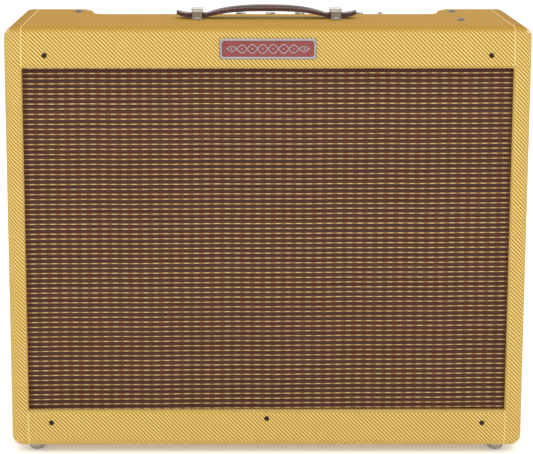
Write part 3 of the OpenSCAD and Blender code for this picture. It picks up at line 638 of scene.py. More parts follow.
def stops(low, high, radius, inner):
    """Grid lines from low to high: fine over the rounded ends, then the given inner ones."""
    turns = [math.tan(math.radians(45 - 7.5 * i)) * radius for i in range(7)]
    near = [low + radius - t for t in turns]
    far = [high - radius + t for t in reversed(turns)]
    return near + [v for v in inner if low + radius < v < high - radius] + far


def rounded_box(inset, radius):
    """The whole box as a closed grid with rounded edges, its faces moved in by inset."""
    low = Vector((-WIDTH / 2 + inset, FRONT + inset, BASE + inset))
    high = Vector((WIDTH / 2 - inset, BACK_LOW - inset, TOP - inset))
    flats = [
        [-SEAM, -0.2, -0.1, 0.0, 0.1, 0.2, SEAM],
        [-0.06, 0.0, 0.06],
        [0.1, 0.2, 0.3, 0.4],
    ]
    lines = [stops(low[a], high[a], radius, flats[a]) for a in range(3)]
    index, verts, faces = {}, [], []

    def point(p):
        p = Vector(p)
        core = Vector([min(max(p[a], low[a] + radius), high[a] - radius) for a in range(3)])
        placed_at = leaned(core + (p - core).normalized() * radius)
        key = tuple(round(c, 7) for c in placed_at)
        if key not in index:
            index[key] = len(verts)
            verts.append(placed_at)
        return index[key]

    for axis in range(3):
        a, b = [i for i in range(3) if i != axis]
        for end in (low[axis], high[axis]):
            for i in range(len(lines[a]) - 1):
                for j in range(len(lines[b]) - 1):
                    corners = []
                    for s, t in ((0, 0), (1, 0), (1, 1), (0, 1)):
                        p = [0, 0, 0]
                        p[axis] = end
                        p[a] = lines[a][i + s]
                        p[b] = lines[b][j + t]
                        corners.append(point(p))
                    faces.append(tuple(corners))
    return verts, faces


def flare(depth):
    """How far a rounded lip has opened at a depth under the surface."""
    t = min(max(depth, 0.0), LIP)
    return LIP - math.sqrt(LIP * LIP - (LIP - t) ** 2)


LIP_DEPTHS = [-30 * MM] + [LIP * (1 - math.cos(math.radians(15 * i))) for i in range(7)]


def opening_cutter(grow, floor):
    """Space in front of the grille, with rounded lips, down to the plane y = floor."""
    rings = []
    for depth in LIP_DEPTHS + [floor - FRONT]:
        out = grow + flare(depth)
        x = INNER - SKIN + out
        low, high = OPEN_LOW - out, OPEN_HIGH + out
        y = FRONT + depth
        rings += [(-x, y, low), (x, y, low), (x, y, high), (-x, y, high)]
    return rings, ring_faces(len(LIP_DEPTHS) + 1, 4)


def recess_outline(out):
    """Outline of the recess over the control panel, moved out by the given distance."""
    radius = RECESS_FILLET - out
    centre = Vector((RECESS_HALF - RECESS_FILLET, RECESS_Y + RECESS_FILLET))
    right = []
    for i in range(7):
        angle = math.radians(-90 + 15 * i)
        right.append((centre.x + radius * math.cos(angle), centre.y + radius * math.sin(angle)))
    for i in range(9):
        t = i / 8
        ease = t * t * (3 - 2 * t)
        x = RECESS_HALF + out + (RECESS_BACK_HALF - RECESS_HALF) * ease
        right.append((x, RECESS_Y + 47 * MM + 30 * MM * t))
    right.append((RECESS_BACK_HALF + out, RECESS_Y + 200 * MM))
    return [(-x, y) for x, y in reversed(right)] + right


def recess_cutter(grow, floor):
    rings = []
    for depth in LIP_DEPTHS + [TOP - floor]:
        rings += [(x, y, TOP - depth) for x, y in recess_outline(grow + flare(depth))]
    return rings, ring_faces(len(LIP_DEPTHS) + 1, len(recess_outline(0)))


def box_form(low, high):
    (x0, y0, z0), (x1, y1, z1) = low, high
    verts = [(x0, y0, z0), (x1, y0, z0), (x1, y1, z0), (x0, y1, z0),
             (x0, y0, z1), (x1, y0, z1), (x1, y1, z1), (x0, y1, z1)]
    return verts, ring_faces(2, 4)


def scratch(form):
    mesh = bpy.data.meshes.new("scratch")
    mesh.from_pydata([tuple(v) for v in form[0]], [], form[1])
    work = bmesh.new()
    work.from_mesh(mesh)
    bmesh.ops.recalc_face_normals(work, faces=work.faces)
    work.to_mesh(mesh)
    work.free()
    obj = bpy.data.objects.new("scratch", mesh)
    bpy.context.scene.collection.objects.link(obj)
    return obj


def cut(obj, cutters):
    """Takes each cutter away from an object and removes the cutter."""
    for cutter in cutters:
        step = obj.modifiers.new("cut", "BOOLEAN")
        step.operation = "DIFFERENCE"
        step.solver = "EXACT"
        step.object = cutter
        bake_modifiers(obj)
        bpy.data.objects.remove(cutter)
    return obj


def wrap_angle(rise, run):
    return EDGE * math.atan2(max(rise, 0.0), max(run, 1e-9))


def cloth_place(p, centre, normal):
    """Where a point of the covering lies on the flat cloth, so the twill runs round the edges."""
    quarter = EDGE * math.pi / 2
    side = 1 if centre.x > 0 else -1
    flat_x = WIDTH / 2 - EDGE
    front = FRONT + EDGE
    rear = back_y(p.z) - EDGE
    x = abs(p.x)
    run_top = TOP - EDGE + quarter + (p.y - front)
    in_opening = (abs(centre.x) < INNER - SKIN + LIP and OPEN_LOW - LIP < centre.z < OPEN_HIGH + LIP)
    if in_opening and centre.y > FRONT + 0.05 * MM and centre.y < 0:
        depth = p.y - FRONT
        if abs(normal.x) > 0.6:
            return p.x - side * depth, p.z
        return p.x, (p.z + depth if centre.z < 0.25 else p.z - depth)
    in_recess = (centre.z > CEILING - MM and centre.y > RECESS_Y - LIP - MM
                 and abs(centre.x) < RECESS_BACK_HALF + LIP + MM and normal.z < 0.9)
    if in_recess and centre.y < back_y(centre.z) - MM:
        if abs(normal.y) > 0.6:
            return p.x, run_top + (TOP - p.z)
        return p.x + side * (TOP - p.z), run_top
    on_seam_side = abs(centre.x) > SEAM
    if centre.y < front and normal.y < 0.1:
        v = p.z
        if p.z > TOP - EDGE:
            v = TOP - EDGE + wrap_angle(p.z - (TOP - EDGE), front - p.y)
        if p.z < BASE + EDGE:
            v = BASE + EDGE - wrap_angle(BASE + EDGE - p.z, front - p.y)
        u = x if x < flat_x else flat_x + wrap_angle(x - flat_x, front - p.y)
        return side * u, v
    if abs(normal.z) > 0.72 or not on_seam_side and abs(normal.z) > abs(normal.y):
        if not on_seam_side:
            return (p.x, run_top) if normal.z > 0 else (p.x, BASE + EDGE - quarter - (p.y - front))
        inward = quarter + flat_x - x
        v = TOP - EDGE + inward if normal.z > 0 else BASE + EDGE - inward
        return side * (flat_x + quarter + p.y - front), v
    if normal.y > 0.72 or not on_seam_side:
        return side * (flat_x + 2 * quarter + rear - front + flat_x - x), p.z
    u = flat_x + quarter + (p.y - front)
    if p.y > rear:
        u = flat_x + quarter + (rear - front) + wrap_angle(p.y - rear, x - flat_x)
    v = p.z
    if p.z > TOP - EDGE:
        v = TOP - EDGE + wrap_angle(p.z - (TOP - EDGE), x - flat_x)
    if p.z < BASE + EDGE:
        v = BASE + EDGE - wrap_angle(BASE + EDGE - p.z, x - flat_x)
    return side * u, v


def lay_cloth(obj, place):
    """Gives every face corner its place on the flat cloth."""
    mesh = obj.data
    while mesh.uv_layers:
        mesh.uv_layers.remove(mesh.uv_layers[0])
    points = [v.co.copy() for v in mesh.vertices]
    spots = []
    for face in mesh.polygons:
        centre, normal = face.center.copy(), face.normal.copy()
        for i in face.vertices:
            spots += place(points[i], centre, normal)
    layer = mesh.uv_layers.new(name="cloth")
    layer.data.foreach_set("uv", spots)


def build_tweed(cloth, shaded):
    shell = scratch(rounded_box(0.0, EDGE))
    core = scratch(rounded_box(SKIN, EDGE - SKIN))
    hair = 0.05 * MM
    cut(shell, [scratch(opening_cutter(0.0, CLOTH_Y)), scratch(recess_cutter(0.0, CEILING))])
    cut(core, [scratch(opening_cutter(SKIN, CLOTH_Y - hair)),
               scratch(recess_cutter(SKIN, CEILING + hair))])
    rear = box_form((-INNER, 0.07, FLOOR_IN), (INNER, 0.3, CEILING))
    cut(shell, [core, scratch(rear)])
    shell.name = shell.data.name = "tweed_covering"
    shell.data.materials.clear()
    shell.data.materials.append(cloth)
    shell.data.materials.append(shaded)
    # Painted shade: the top's side strips get the darker copy of the twill
    for face in shell.data.polygons:
        shaded_top_strip = face.normal.z > 0.8 and abs(face.center.x) > SEAM and face.center.y > FRONT + EDGE
        face.material_index = 1 if shaded_top_strip else 0
    lay_cloth(shell, cloth_place)
    smooth(shell, 40)
    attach(shell, "cabinet")
    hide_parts("tweed_cover")


def seam_path(up):
    """Side view (y, z) of the seam that runs from the grille opening round to the back."""
    edge_z = OPEN_HIGH if up else OPEN_LOW
    far_z = TOP if up else BASE
    sign = 1 if up else -1
    points = [(FRONT + 3 * MM, edge_z), (FRONT + 0.8 * MM, edge_z + sign * 0.8 * MM),
              (FRONT, edge_z + sign * 3 * MM)]
    steps = 12
    start = points[-1][1]
    end = far_z - sign * EDGE
    points += [(FRONT, start + (end - start) * i / steps) for i in range(1, steps + 1)]
    for i in range(1, 9):
        a = math.radians(90 * i / 8)
        points.append((FRONT + EDGE - EDGE * math.cos(a), end + sign * EDGE * math.sin(a)))
    rear = back_y(far_z) - EDGE
    points += [(FRONT + EDGE + (rear - FRONT - EDGE) * i / 60, far_z) for i in range(1, 61)]
    return points


def build_seams(material):
    """Cut edges of the side cloth, lying over the top and bottom cloths."""
    draw = random.Random(11)
    parts = []
    for side in (-1, 1):
        for up in (True, False):
            path = []
            points = seam_path(up)
            for a, b in zip(points, points[1:]):
                count = max(1, round(math.dist(a, b) / (0.9 * MM)))
                path += [(a[0] + (b[0] - a[0]) * i / count, a[1] + (b[1] - a[1]) * i / count)
                         for i in range(count)]
            verts = []
            for i, (y, z) in enumerate(path):
                ahead = path[min(i + 1, len(path) - 1)]
                behind = path[max(i - 1, 0)]
                along = Vector((0, ahead[0] - behind[0], ahead[1] - behind[1])).normalized()
                out = Vector((0, along.z, -along.y)) * (-1 if up else 1)
                half = (0.38 + 0.3 * draw.random()) * MM
                lift = (0.12 + 0.22 * draw.random()) * MM
                drift = 0.25 * MM * math.sin(i * 0.11)
                at = Vector((side * (SEAM + drift), y, z))
                across = Vector((1, 0, 0))
                verts += [at - across * half - out * 0.2 * MM, at - across * half * 0.5 + out * lift,
                          at + across * half * 0.5 + out * lift, at + across * half - out * 0.2 * MM]
            parts.append((verts, ring_faces(len(path), 4)))
    seams = make_piece("tweed_seams", *joined(parts), material)


# ------------------------------------------------------------------ grille

SLANT_LOW = 0.0069
SLANT_HIGH = 0.0015


def cloth_rise(x, z):
    """Height on the flat cloth of a point of the stretched one, whose lines fan out a little."""
    up = (z - cloth_low.z) / (cloth_high.z - cloth_low.z)
    slant = SLANT_LOW + (SLANT_HIGH - SLANT_LOW) * up
    ripple = 0.12 * MM * math.sin(x * 38 + 0.6) + 0.08 * MM * math.sin(x * 91 + z * 12)
    return z + 0.3 * MM - slant * x + ripple


def build_grille(material):
    """The stretched cloth, with its raised gold lines and a slight pull between the staples."""
    x = INNER - 0.5 * MM
    low, high = cloth_low.z, cloth_high.z
    rows_per_line = 8
    rows = round((high - low) / LINE_PITCH * rows_per_line)
    columns = 72
    verts = []
    for i in range(rows + 1):
        z = low + (high - low) * i / rows
        for j in range(columns + 1):
            px = -x + 2 * x * j / columns
            at = (cloth_rise(px, z) / LINE_PITCH) % 1.0
            lift = 0.32 * MM * max(0.0, 1 - abs(at - 0.5) / 0.2)
            verts.append(Vector((px, CLOTH_Y + 0.42 * MM - lift, z)))
    size = columns + 1
    faces = [(i * size + j, i * size + j + 1, (i + 1) * size + j + 1, (i + 1) * size + j)
             for i in range(rows) for j in range(columns)]
    cloth = make_piece("grille_cloth_weave", verts, faces, material, degrees=80)
    lay_cloth(cloth, lambda p, centre, normal: (p.x, cloth_rise(p.x, p.z)))
    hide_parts("grille_cloth")


# ------------------------------------------------------------------ handle

BRACKET_X = 83 * MM
HALF_LENGTH = 108 * MM
FULL_HALF = 12.5 * MM
NECK_HALF = 10 * MM
LAYER = 2 * MM


def handle_under(x):
    """Underside of the handle over the box's top."""
    a = abs(x)
    reach = BRACKET_X - 12 * MM
    if a < reach:
        return (9 - 7 * (a / reach) ** 3) * MM
    if a < BRACKET_X + 8 * MM:
        return 2 * MM
    return (2 + 3 * ((a - BRACKET_X - 8 * MM) / (HALF_LENGTH - BRACKET_X - 8 * MM)) ** 2) * MM


def handle_half(x):
    """Half width: full in the middle, narrow in the brackets, rounded at the tips."""
    a = abs(x)
    if a < BRACKET_X - 20 * MM:
        return FULL_HALF
    if a < BRACKET_X - 10 * MM:
        t = (a - BRACKET_X + 20 * MM) / (10 * MM)
        ease = t * t * (3 - 2 * t)
        return FULL_HALF - (FULL_HALF - NECK_HALF) * ease
    if a < BRACKET_X + 10 * MM:
        return NECK_HALF
    u = min((a - BRACKET_X - 10 * MM) / (HALF_LENGTH - BRACKET_X - 10 * MM), 1.0)
    bulge = 2.5 * MM * math.sin(math.pi * min(u * 0.75, 0.5))
    return NECK_HALF + bulge - (NECK_HALF - 1 * MM) * u ** 4


def crown(x):
    """Rise of the padded middle over the stitched edge."""
    reach = BRACKET_X - 14 * MM
    if abs(x) > reach:
        return 0.6 * MM
    return (0.6 + 2.6 * math.cos(math.pi / 2 * abs(x) / reach) ** 0.6) * MM


def pad_height(x, share):
    """Height of the upper face at a share (-1 to 1) of the half width, dipping under the stitches."""
    flat = max(0.0, 1 - (abs(share) / 0.72) ** 2.2) if abs(share) < 0.72 else 0.0
    groove = 0.35 * MM * math.exp(-((abs(share) - 0.80) / 0.05) ** 2)
    lip = 0.25 * MM * math.exp(-((abs(share) - 0.93) / 0.06) ** 2)
    return 2 * LAYER + 0.3 * MM + crown(x) * flat ** 0.8 - groove + lip


def handle_section(x, upper):
    """Cross-section of one layer with rounded edges, as (y, z) pairs round it."""
    half = handle_half(x)
    base = TOP + handle_under(x)
    ring = []
    if upper:
        for i in range(29):
            share = -1 + 2 * i / 28
            share = math.sin(share * math.pi / 2) * 0.6 + share * 0.4
            edge = max(0.0, abs(share) - 0.95) / 0.05
            ring.append((share * half, base + pad_height(x, share) - 0.55 * MM * edge * edge))
        low = base + LAYER + 0.12 * MM
        ring += [(half + 0.05 * MM, low + 1.0 * MM), (half - 0.25 * MM, low), (0, low),
                 (-half + 0.25 * MM, low), (-half - 0.05 * MM, low + 1.0 * MM)]
    else:
        top = base + LAYER - 0.05 * MM
        ring = [(-half + 0.3 * MM, top), (0, top), (half - 0.3 * MM, top), (half, top - 0.6 * MM),
                (half, base + 0.6 * MM), (half - 0.5 * MM, base), (0, base),
                (-half + 0.5 * MM, base), (-half, base + 0.6 * MM), (-half, top - 0.6 * MM)]
    return [(x, HANDLE_Y + y, z) for y, z in ring]


def build_handle(leather, thread):
    stations = [HALF_LENGTH * math.sin(math.pi / 2 * i / 70) for i in range(-70, 71)]
    for name, upper, node in (("handle_top_leather", True, "handle_upper_pad"),
                              ("handle_under_strap", False, "handle_lower_strap")):
        rings = [handle_section(x, upper) for x in stations]
        verts = [p for ring in rings for p in ring]
        piece = make_piece(name, verts, ring_faces(len(rings), len(rings[0])), leather, "handle", 50)
        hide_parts(node)
    parts = []
    pitch = 4.8 * MM
    for side in (-1, 1):
        for i in range(-21, 22):
            x = i * pitch
            if abs(abs(x) - BRACKET_X) < 9.5 * MM:
                continue
            parts.append(stitch(x, side))
    stitches = make_piece("handle_stitches", *joined(parts), thread, "handle", 60)


def stitch(x, side):
    """One raised loop of thread lying along the handle's edge."""
    verts = []
    rings, sides = 9, 6
    share = 0.80 * side
    for i in range(rings):
        t = i / (rings - 1)
        at = x + (t - 0.5) * 2.9 * MM
        z = TOP + handle_under(at) + pad_height(at, share)
        z += (0.42 * math.sin(math.pi * t) - 0.22) * MM
        y = HANDLE_Y + share * handle_half(at) + side * 0.15 * MM * math.sin(math.pi * t)
        radius = (0.34 + 0.16 * math.sin(math.pi * t)) * MM
        for j in range(sides):
            angle = 2 * math.pi * j / sides
            verts.append(Vector((at, y + radius * math.cos(angle), z + radius * math.sin(angle))))
    return verts, ring_faces(rings, sides)


# ------------------------------------------------------------------ name plate

def rounded_outline(width, height, radius, steps=6):
    """Points round a rectangle with rounded corners, centred on the origin."""
    points = []
    for cx, cz, start in ((1, 1, 0), (-1, 1, 90), (-1, -1, 180), (1, -1, 270)):
        for i in range(steps + 1):
            angle = math.radians(start + 90 * i / steps)
            points.append((cx * (width / 2 - radius) + radius * math.cos(angle),
                           cz * (height / 2 - radius) + radius * math.sin(angle)))
    return points


def build_nameplate(metal, enamel):
    low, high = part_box("nameplate")
    centre = (low + high) / 2
    width, height = high.x - low.x, high.z - low.z
    proud = high.y - low.y

    def layer(inset, depth, radius):
        ring = rounded_outline(width - 2 * inset, height - 2 * inset, radius)
        return [(centre.x + x, FRONT - depth, centre.z + z) for x, z in ring]

    top = proud / MM
    profile = [(0.0, 0.0, 1.6), (0.0, 0.9, 1.6), (0.5, 1.6, 1.4), (1.2, top, 1.2), (1.7, top, 1.1),
               (2.3, 1.5, 1.0), (2.7, 1.05, 0.9)]
    verts = [p for inset, depth, radius in profile for p in layer(inset * MM, depth * MM, radius * MM)]
    rim = make_piece("nameplate_frame", verts, ring_faces(len(profile), 28), metal, degrees=40)
    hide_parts("nameplate")
    field = [p for inset, depth in ((2.75, 1.0), (2.75, 1.22), (3.0, 1.3))
             for p in layer(inset * MM, depth * MM, 0.9 * MM)]
    enamelled = make_piece("nameplate_field", field, ring_faces(3, 28), enamel, degrees=40)
    parts = []
    loop = 12 * MM
    # Two interlaced waves with a bead in each loop
    for phase in (0.0, math.pi):
        path = []
        for i in range(241):
            x = -4 * loop + 8 * loop * i / 240
            fade = 1 - 0.8 * abs(x / (4 * loop)) ** 4
            path.append((x, 5.2 * MM * fade * math.sin(math.pi * x / loop + phase)))
        parts.append(ribbon(path, centre, 0.62 * MM))
    for i in range(-4, 4):
        parts.append(bead(centre.x + (i + 0.5) * loop, centre.z, 1.0 * MM))
    ornament = make_piece("nameplate_ornament", *joined(parts), metal, degrees=50)


def ribbon(path, centre, half):
    """Raised round-backed line on the plate's field, along (x, z) points."""
    verts = []
    for i, (x, z) in enumerate(path):
        ax, az = path[min(i + 1, len(path) - 1)]
        bx, bz = path[max(i - 1, 0)]
        along = Vector((ax - bx, 0, az - bz)).normalized()
        across = Vector((along.z, 0, -along.x))
        at = Vector((centre.x + x, FRONT - 1.25 * MM, centre.z + z))
        for share, rise in ((-1, -0.1), (-0.6, 0.3), (0, 0.42), (0.6, 0.3), (1, -0.1)):
            verts.append(at + across * share * half + Vector((0, -rise * MM, 0)))
    return verts, ring_faces(len(path), 5)


def bead(x, z, radius):
    profile = [(0, 0), (radius, 0), (radius * 0.9, 0.25 * MM), (radius * 0.5, 0.48 * MM), (0, 0.55 * MM)]
    verts, faces = lathe(profile, 16)
    return placed(verts, Matrix.Translation((x, FRONT - 1.2 * MM, z)) @ FACING_FRONT), faces


# ------------------------------------------------------------------ controls

POINTER_ANGLES = (12, -8, 5, -14, 8)
CONTROL_Y = sum(v.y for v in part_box("fuse_cap")) / 2


def knob_outline(scale):
    """Outline of a pointer knob: round at the back, with a long tapered nose towards -Y."""
    rear = [(6.4 * math.cos(math.pi * i / 12), 2.0 + 5.6 * math.sin(math.pi * i / 12)) for i in range(13)]
    left = [(-6.2, -1.0), (-5.6, -4.0), (-4.7, -7.5), (-3.5, -11.0), (-2.2, -14.5), (-1.4, -16.4)]
    outline = rear + left + [(0.0, -17.0)] + [(-x, y) for x, y in reversed(left)]
    return [(x * scale * MM, y * scale * MM) for x, y in outline]


KNOB_HEIGHT = 16 * MM


def build_knob(index, plastic, line):
    node = "knob_%d" % index
    at = Vector((knob_x(index), CONTROL_Y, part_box(node)[1].z - KNOB_HEIGHT))
    turn = Matrix.Translation(at) @ Matrix.Rotation(math.radians(POINTER_ANGLES[index - 1]), 4, "Z")
    skirt = turned([(0, 0), (9.2, 0), (9.5, 0.4), (9.5, 2.6), (9.1, 3.6), (8.4, 4.0), (0, 4.0)])
    collar = turned([(0, 3.6), (8.0, 3.6), (7.6, 9), (7.2, 12.6), (6.6, 13.4), (0, 13.6)])
    shaft = turned([(0, -11), (2.9, -11), (3.175, -10.6), (3.175, 0.5), (0, 0.5)], 32)
    head = []
    levels = ((1.0, 1.0), (9.0, 0.97), (14.2, 0.94), (15.2, 0.92), (15.8, 0.88), (16.0, 0.82))
    for height, scale in levels:
        head += [(x, y, height * MM) for x, y in knob_outline(scale)]
    size = len(knob_outline(1.0))
    parts = [skirt, collar, shaft, (head, ring_faces(len(levels), size))]
    verts, faces = joined(parts)
    knob = make_piece("pointer_knob_%d_body" % index, placed(verts, turn), faces, plastic,
                      "pointer_knob_%d" % index, 40)
    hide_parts(node)
    # White line let into the nose, over its top and down its front
    path = [(-1.5, 16.04), (-6, 16.06), (-13.2, 16.06), (-14.6, 15.8), (-15.6, 15.0), (-16.45, 11),
            (-16.95, 5)]
    rings = []
    for y, z in path:
        for x, lift in ((-0.7, -0.2), (-0.6, 0.1), (0.6, 0.1), (0.7, -0.2)):
            rings.append((x * MM, (y - lift * (z < 15.9)) * MM, (z + lift * (z >= 15.0)) * MM))
    mark = make_piece("pointer_knob_%d_line" % index, placed(rings, turn), ring_faces(len(path), 4), line,
                      "pointer_knob_%d" % index, 40)


def knob_x(index):
    """Place of a knob's axis along X, from the even row of shafts."""
    low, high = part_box("potentiometers")
    first, last = low.x + 12 * MM, high.x - 12 * MM
    return first + (last - first) * (index - 1) / 4


def build_lever(name, node, body, lean, metal):
    low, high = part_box(node)
    x = (low.x + high.x) / 2
    pivot = Vector((x, CONTROL_Y, CEILING + 3 * MM))
    profile = [(0, -3.4), (2.0, -2.8), (3.2, -1.4), (3.5, 0.0), (3.0, 1.6), (2.0, 2.8), (1.65, 4.2),
               (1.75, 7.0), (2.1, 9.2), (2.55, 11.4), (2.85, 13.5), (2.85, 14.7), (2.5, 15.8),
               (1.7, 16.6), (0, 16.9)]
    verts, faces = turned(profile, 40)
    turn = Matrix.Translation(pivot) @ Matrix.Rotation(math.radians(lean), 4, "X")
    lever = make_piece(name, placed(verts, turn), faces, metal, body, 60)
    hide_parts(node)


def facet_dome(at, material):
    """Pilot lamp's jewel with cut facets."""
    verts, sides = [], 12
    levels = ((5.9, -4.0), (5.9, 3.2), (6.8, 4.0), (6.4, 5.4), (5.0, 7.4), (2.6, 9.0), (0.9, 9.35))
    for i, (radius, z) in enumerate(levels):
        for j in range(sides):
            angle = 2 * math.pi * (j + 0.5 * (i % 2)) / sides
            verts.append(Vector((radius * MM * math.cos(angle), radius * MM * math.sin(angle), z * MM)))
    faces = []
    for i in range(len(levels) - 1):
        for j in range(sides):
            k = (j + 1) % sides
            a, b, c, d = i * sides + j, i * sides + k, (i + 1) * sides + k, (i + 1) * sides + j
            faces += [(a, b, d), (b, c, d)] if i % 2 == 0 else [(a, b, c), (a, c, d)]
    faces += [tuple(range(sides - 1, -1, -1)), tuple((len(levels) - 1) * sides + j for j in range(sides))]
    jewel = make_piece("pilot_jewel_cut", placed(verts, Matrix.Translation(at)), faces, material, degrees=5)
    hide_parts("pilot_jewel")


def build_fuse_cap(material):
    low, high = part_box("fuse_cap")
    x = (low.x + high.x) / 2
    verts, sides = [], 48
    levels = ((0, 7.0), (0.5, 7.0), (6.8, 6.8), (7.6, 6.3), (8.0, 5.2))
    for z, radius in levels:
        for j in range(sides):
            angle = 2 * math.pi * j / sides
            groove = 0.35 if j % 3 == 0 and 0.3 < z < 7.9 else 0.0
            r = (radius - groove) * MM
            verts.append(Vector((r * math.cos(angle), r * math.sin(angle), z * MM)))
    cap = (verts, ring_faces(len(levels), sides))
    stem = turned([(0, -32.6), (3.1, -32.6), (3.1, -14), (5.1, -14), (5.1, 0.4), (0, 0.4)], 32)
    moved, faces = joined([cap, stem])
    piece = scratch((placed(moved, Matrix.Translation((x, CONTROL_Y, CEILING + 2.6 * MM))), faces))
    half, reach = 0.8 * MM, 9 * MM
    slot = box_form((x - half, CONTROL_Y - reach, CEILING + 9.4 * MM),
                    (x + half, CONTROL_Y + reach, CEILING + 14 * MM))
    cut(piece, [scratch(slot)])
    piece.name = piece.data.name = "fuse_cap_fluted"
    piece.data.materials.clear()
    piece.data.materials.append(material)
    smooth(piece, 30)
    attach(piece, "fuse")
    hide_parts("fuse_cap")


DIGIT_STROKES = {
    "1": [[(-0.3, 0.7), (0.1, 1.0), (0.1, -1.0)]],
    "2": [[(-0.5, 0.6), (-0.2, 1.0), (0.3, 0.95), (0.5, 0.5), (-0.5, -1.0), (0.55, -1.0)]],
    "3": [[(-0.5, 0.95), (0.5, 0.95), (0.0, 0.2), (0.45, -0.1), (0.4, -0.8), (-0.1, -1.0), (-0.5, -0.75)]],
    "4": [[(0.25, -1.0), (0.25, 1.0), (-0.55, -0.4), (0.55, -0.4)]],
    "5": [[(0.5, 1.0), (-0.4, 1.0), (-0.45, 0.15), (0.2, 0.2), (0.5, -0.3), (0.2, -0.95), (-0.5, -0.9)]],
    "6": [[(0.4, 1.0), (-0.3, 0.4), (-0.5, -0.4), (-0.1, -1.0), (0.4, -0.8), (0.45, -0.2), (0.0, 0.1),
           (-0.45, -0.2)]],
    "7": [[(-0.5, 1.0), (0.5, 1.0), (-0.1, -1.0)]],
    "8": [[(0.0, 0.1), (-0.4, 0.5), (0.0, 1.0), (0.4, 0.5), (0.0, 0.1), (-0.5, -0.5), (0.0, -1.0),
           (0.5, -0.5), (0.0, 0.1)]],
    "9": [[(-0.4, -1.0), (0.3, -0.4), (0.5, 0.4), (0.1, 1.0), (-0.4, 0.8), (-0.45, 0.2), (0.0, -0.1),
           (0.45, 0.2)]],
    "0": [[(0.0, 1.0), (-0.45, 0.5), (-0.45, -0.5), (0.0, -1.0), (0.45, -0.5), (0.45, 0.5), (0.0, 1.0)]],
}


def flat_line(points, half, base, height):
    """Printed line that stands a hair proud of the panel; points are (x, y) in metres."""
    parts = []
    for a, b in zip(points, points[1:]):
        along = Vector((b[0] - a[0], b[1] - a[1]))
        if along.length < 1e-9:
            continue
        along.normalize()
        across = Vector((-along.y, along.x)) * half
        ends = [Vector(a) - along * half, Vector(b) + along * half]
        corners = [ends[0] + across, ends[0] - across, ends[1] - across, ends[1] + across]
        parts.append(([(p.x, p.y, base) for p in corners] + [(p.x, p.y, base + height) for p in corners],
                      ring_faces(2, 4)))
    return joined(parts)


def build_dials(ink):
    """Numbers from 1 to 12 and ticks round each knob, printed on the panel."""
    base = CEILING - 0.02 * MM
    parts = []
    for index in range(1, 6):
        x = knob_x(index)
        for number in range(1, 13):
            angle = math.radians(240 - 300 * (number - 1) / 11)
            out = Vector((math.cos(angle), math.sin(angle)))
            tick = [Vector((x, CONTROL_Y)) + out * r * MM for r in (11.0, 12.2)]
            parts.append(flat_line([tuple(p) for p in tick], 0.16 * MM, base, 0.07 * MM))
            for k, digit in enumerate(str(number)):
                shift = (k - (len(str(number)) - 1) / 2) * 1.6
                for stroke in DIGIT_STROKES[digit]:
                    points = [(x + out.x * 14.4 * MM + (p + shift) * MM * 0.95,
                               CONTROL_Y + out.y * 14.4 * MM + q * MM * 1.05) for p, q in stroke]
                    parts.append(flat_line(points, 0.15 * MM, base, 0.07 * MM))
    dials = make_piece("panel_dial_numbers", *joined(parts), ink, degrees=30)


# ------------------------------------------------------------------ hardware

def screw_head(at, axis, radius, height, slot_turn, phillips=False):
    """Domed head with a driver recess, on a plane through at, facing along axis."""
    turn = Vector(axis).to_track_quat("Z", "Y").to_matrix().to_4x4() @ Matrix.Rotation(slot_turn, 4, "Z")
    place = Matrix.Translation(at) @ turn
    profile = [(0, -0.6 * MM), (radius * 0.5, -0.6 * MM), (radius, 0), (radius * 0.98, height * 0.25),
               (radius * 0.86, height * 0.62), (radius * 0.62, height * 0.88),
               (radius * 0.3, height * 0.98), (0, height)]
    head = scratch(lathe(profile, 36))
    arms = (0, 1) if phillips else (0,)
    cutters = []
    for k in arms:
        half = radius * (0.55 if phillips else 1.2)
        slot = box_form((-half, -radius * 0.12, height * 0.45), (half, radius * 0.12, height + 1 * MM))
        spin = Matrix.Rotation(k * math.pi / 2, 4, "Z")
        cutters.append(scratch((placed(slot[0], spin), slot[1])))
    cut(head, cutters)
    verts = [place @ v.co for v in head.data.vertices]
    faces = [tuple(p.vertices) for p in head.data.polygons]
    bpy.data.objects.remove(head)
    return verts, faces


def solid_boxes(node):
    """Lowest and highest corner of each separate solid in a CAD node, from left to right."""
    form = bmesh.new()
    form.from_mesh(nodes[node].data)
    bmesh.ops.remove_doubles(form, verts=form.verts, dist=1e-6)
    left, boxes = set(form.verts), []
    while left:
        found = [left.pop()]
        for vert in found:
            for edge in vert.link_edges:
                other = edge.other_vert(vert)
                if other in left:
                    left.remove(other)
                    found.append(other)
        boxes.append(tuple(Vector([pick(v.co[a] for v in found) for a in range(3)]) for pick in (min, max)))
    form.free()
    return sorted(boxes, key=lambda box: tuple(round(c, 4) for c in box[0]))


SHANK_R = 1.8 * MM


def build_screws(name, node, places, axis, radius, height, length, metal, phillips=False):
    """Heads with driver slots, each on its shank."""
    draw = random.Random(name)
    turn = (-Vector(axis)).to_track_quat("Z", "Y").to_matrix().to_4x4()
    parts = []
    for p in places:
        parts.append(screw_head(p, axis, radius, height, draw.uniform(0, math.pi), phillips))
        shank, faces = lathe([(0, 0.2 * MM), (SHANK_R, 0.2 * MM), (SHANK_R, length * 0.7), (0, length)], 20)
        parts.append((placed(shank, Matrix.Translation(p) @ turn), faces))
    heads = make_piece(name, *joined(parts), metal, degrees=30)
    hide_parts(node)


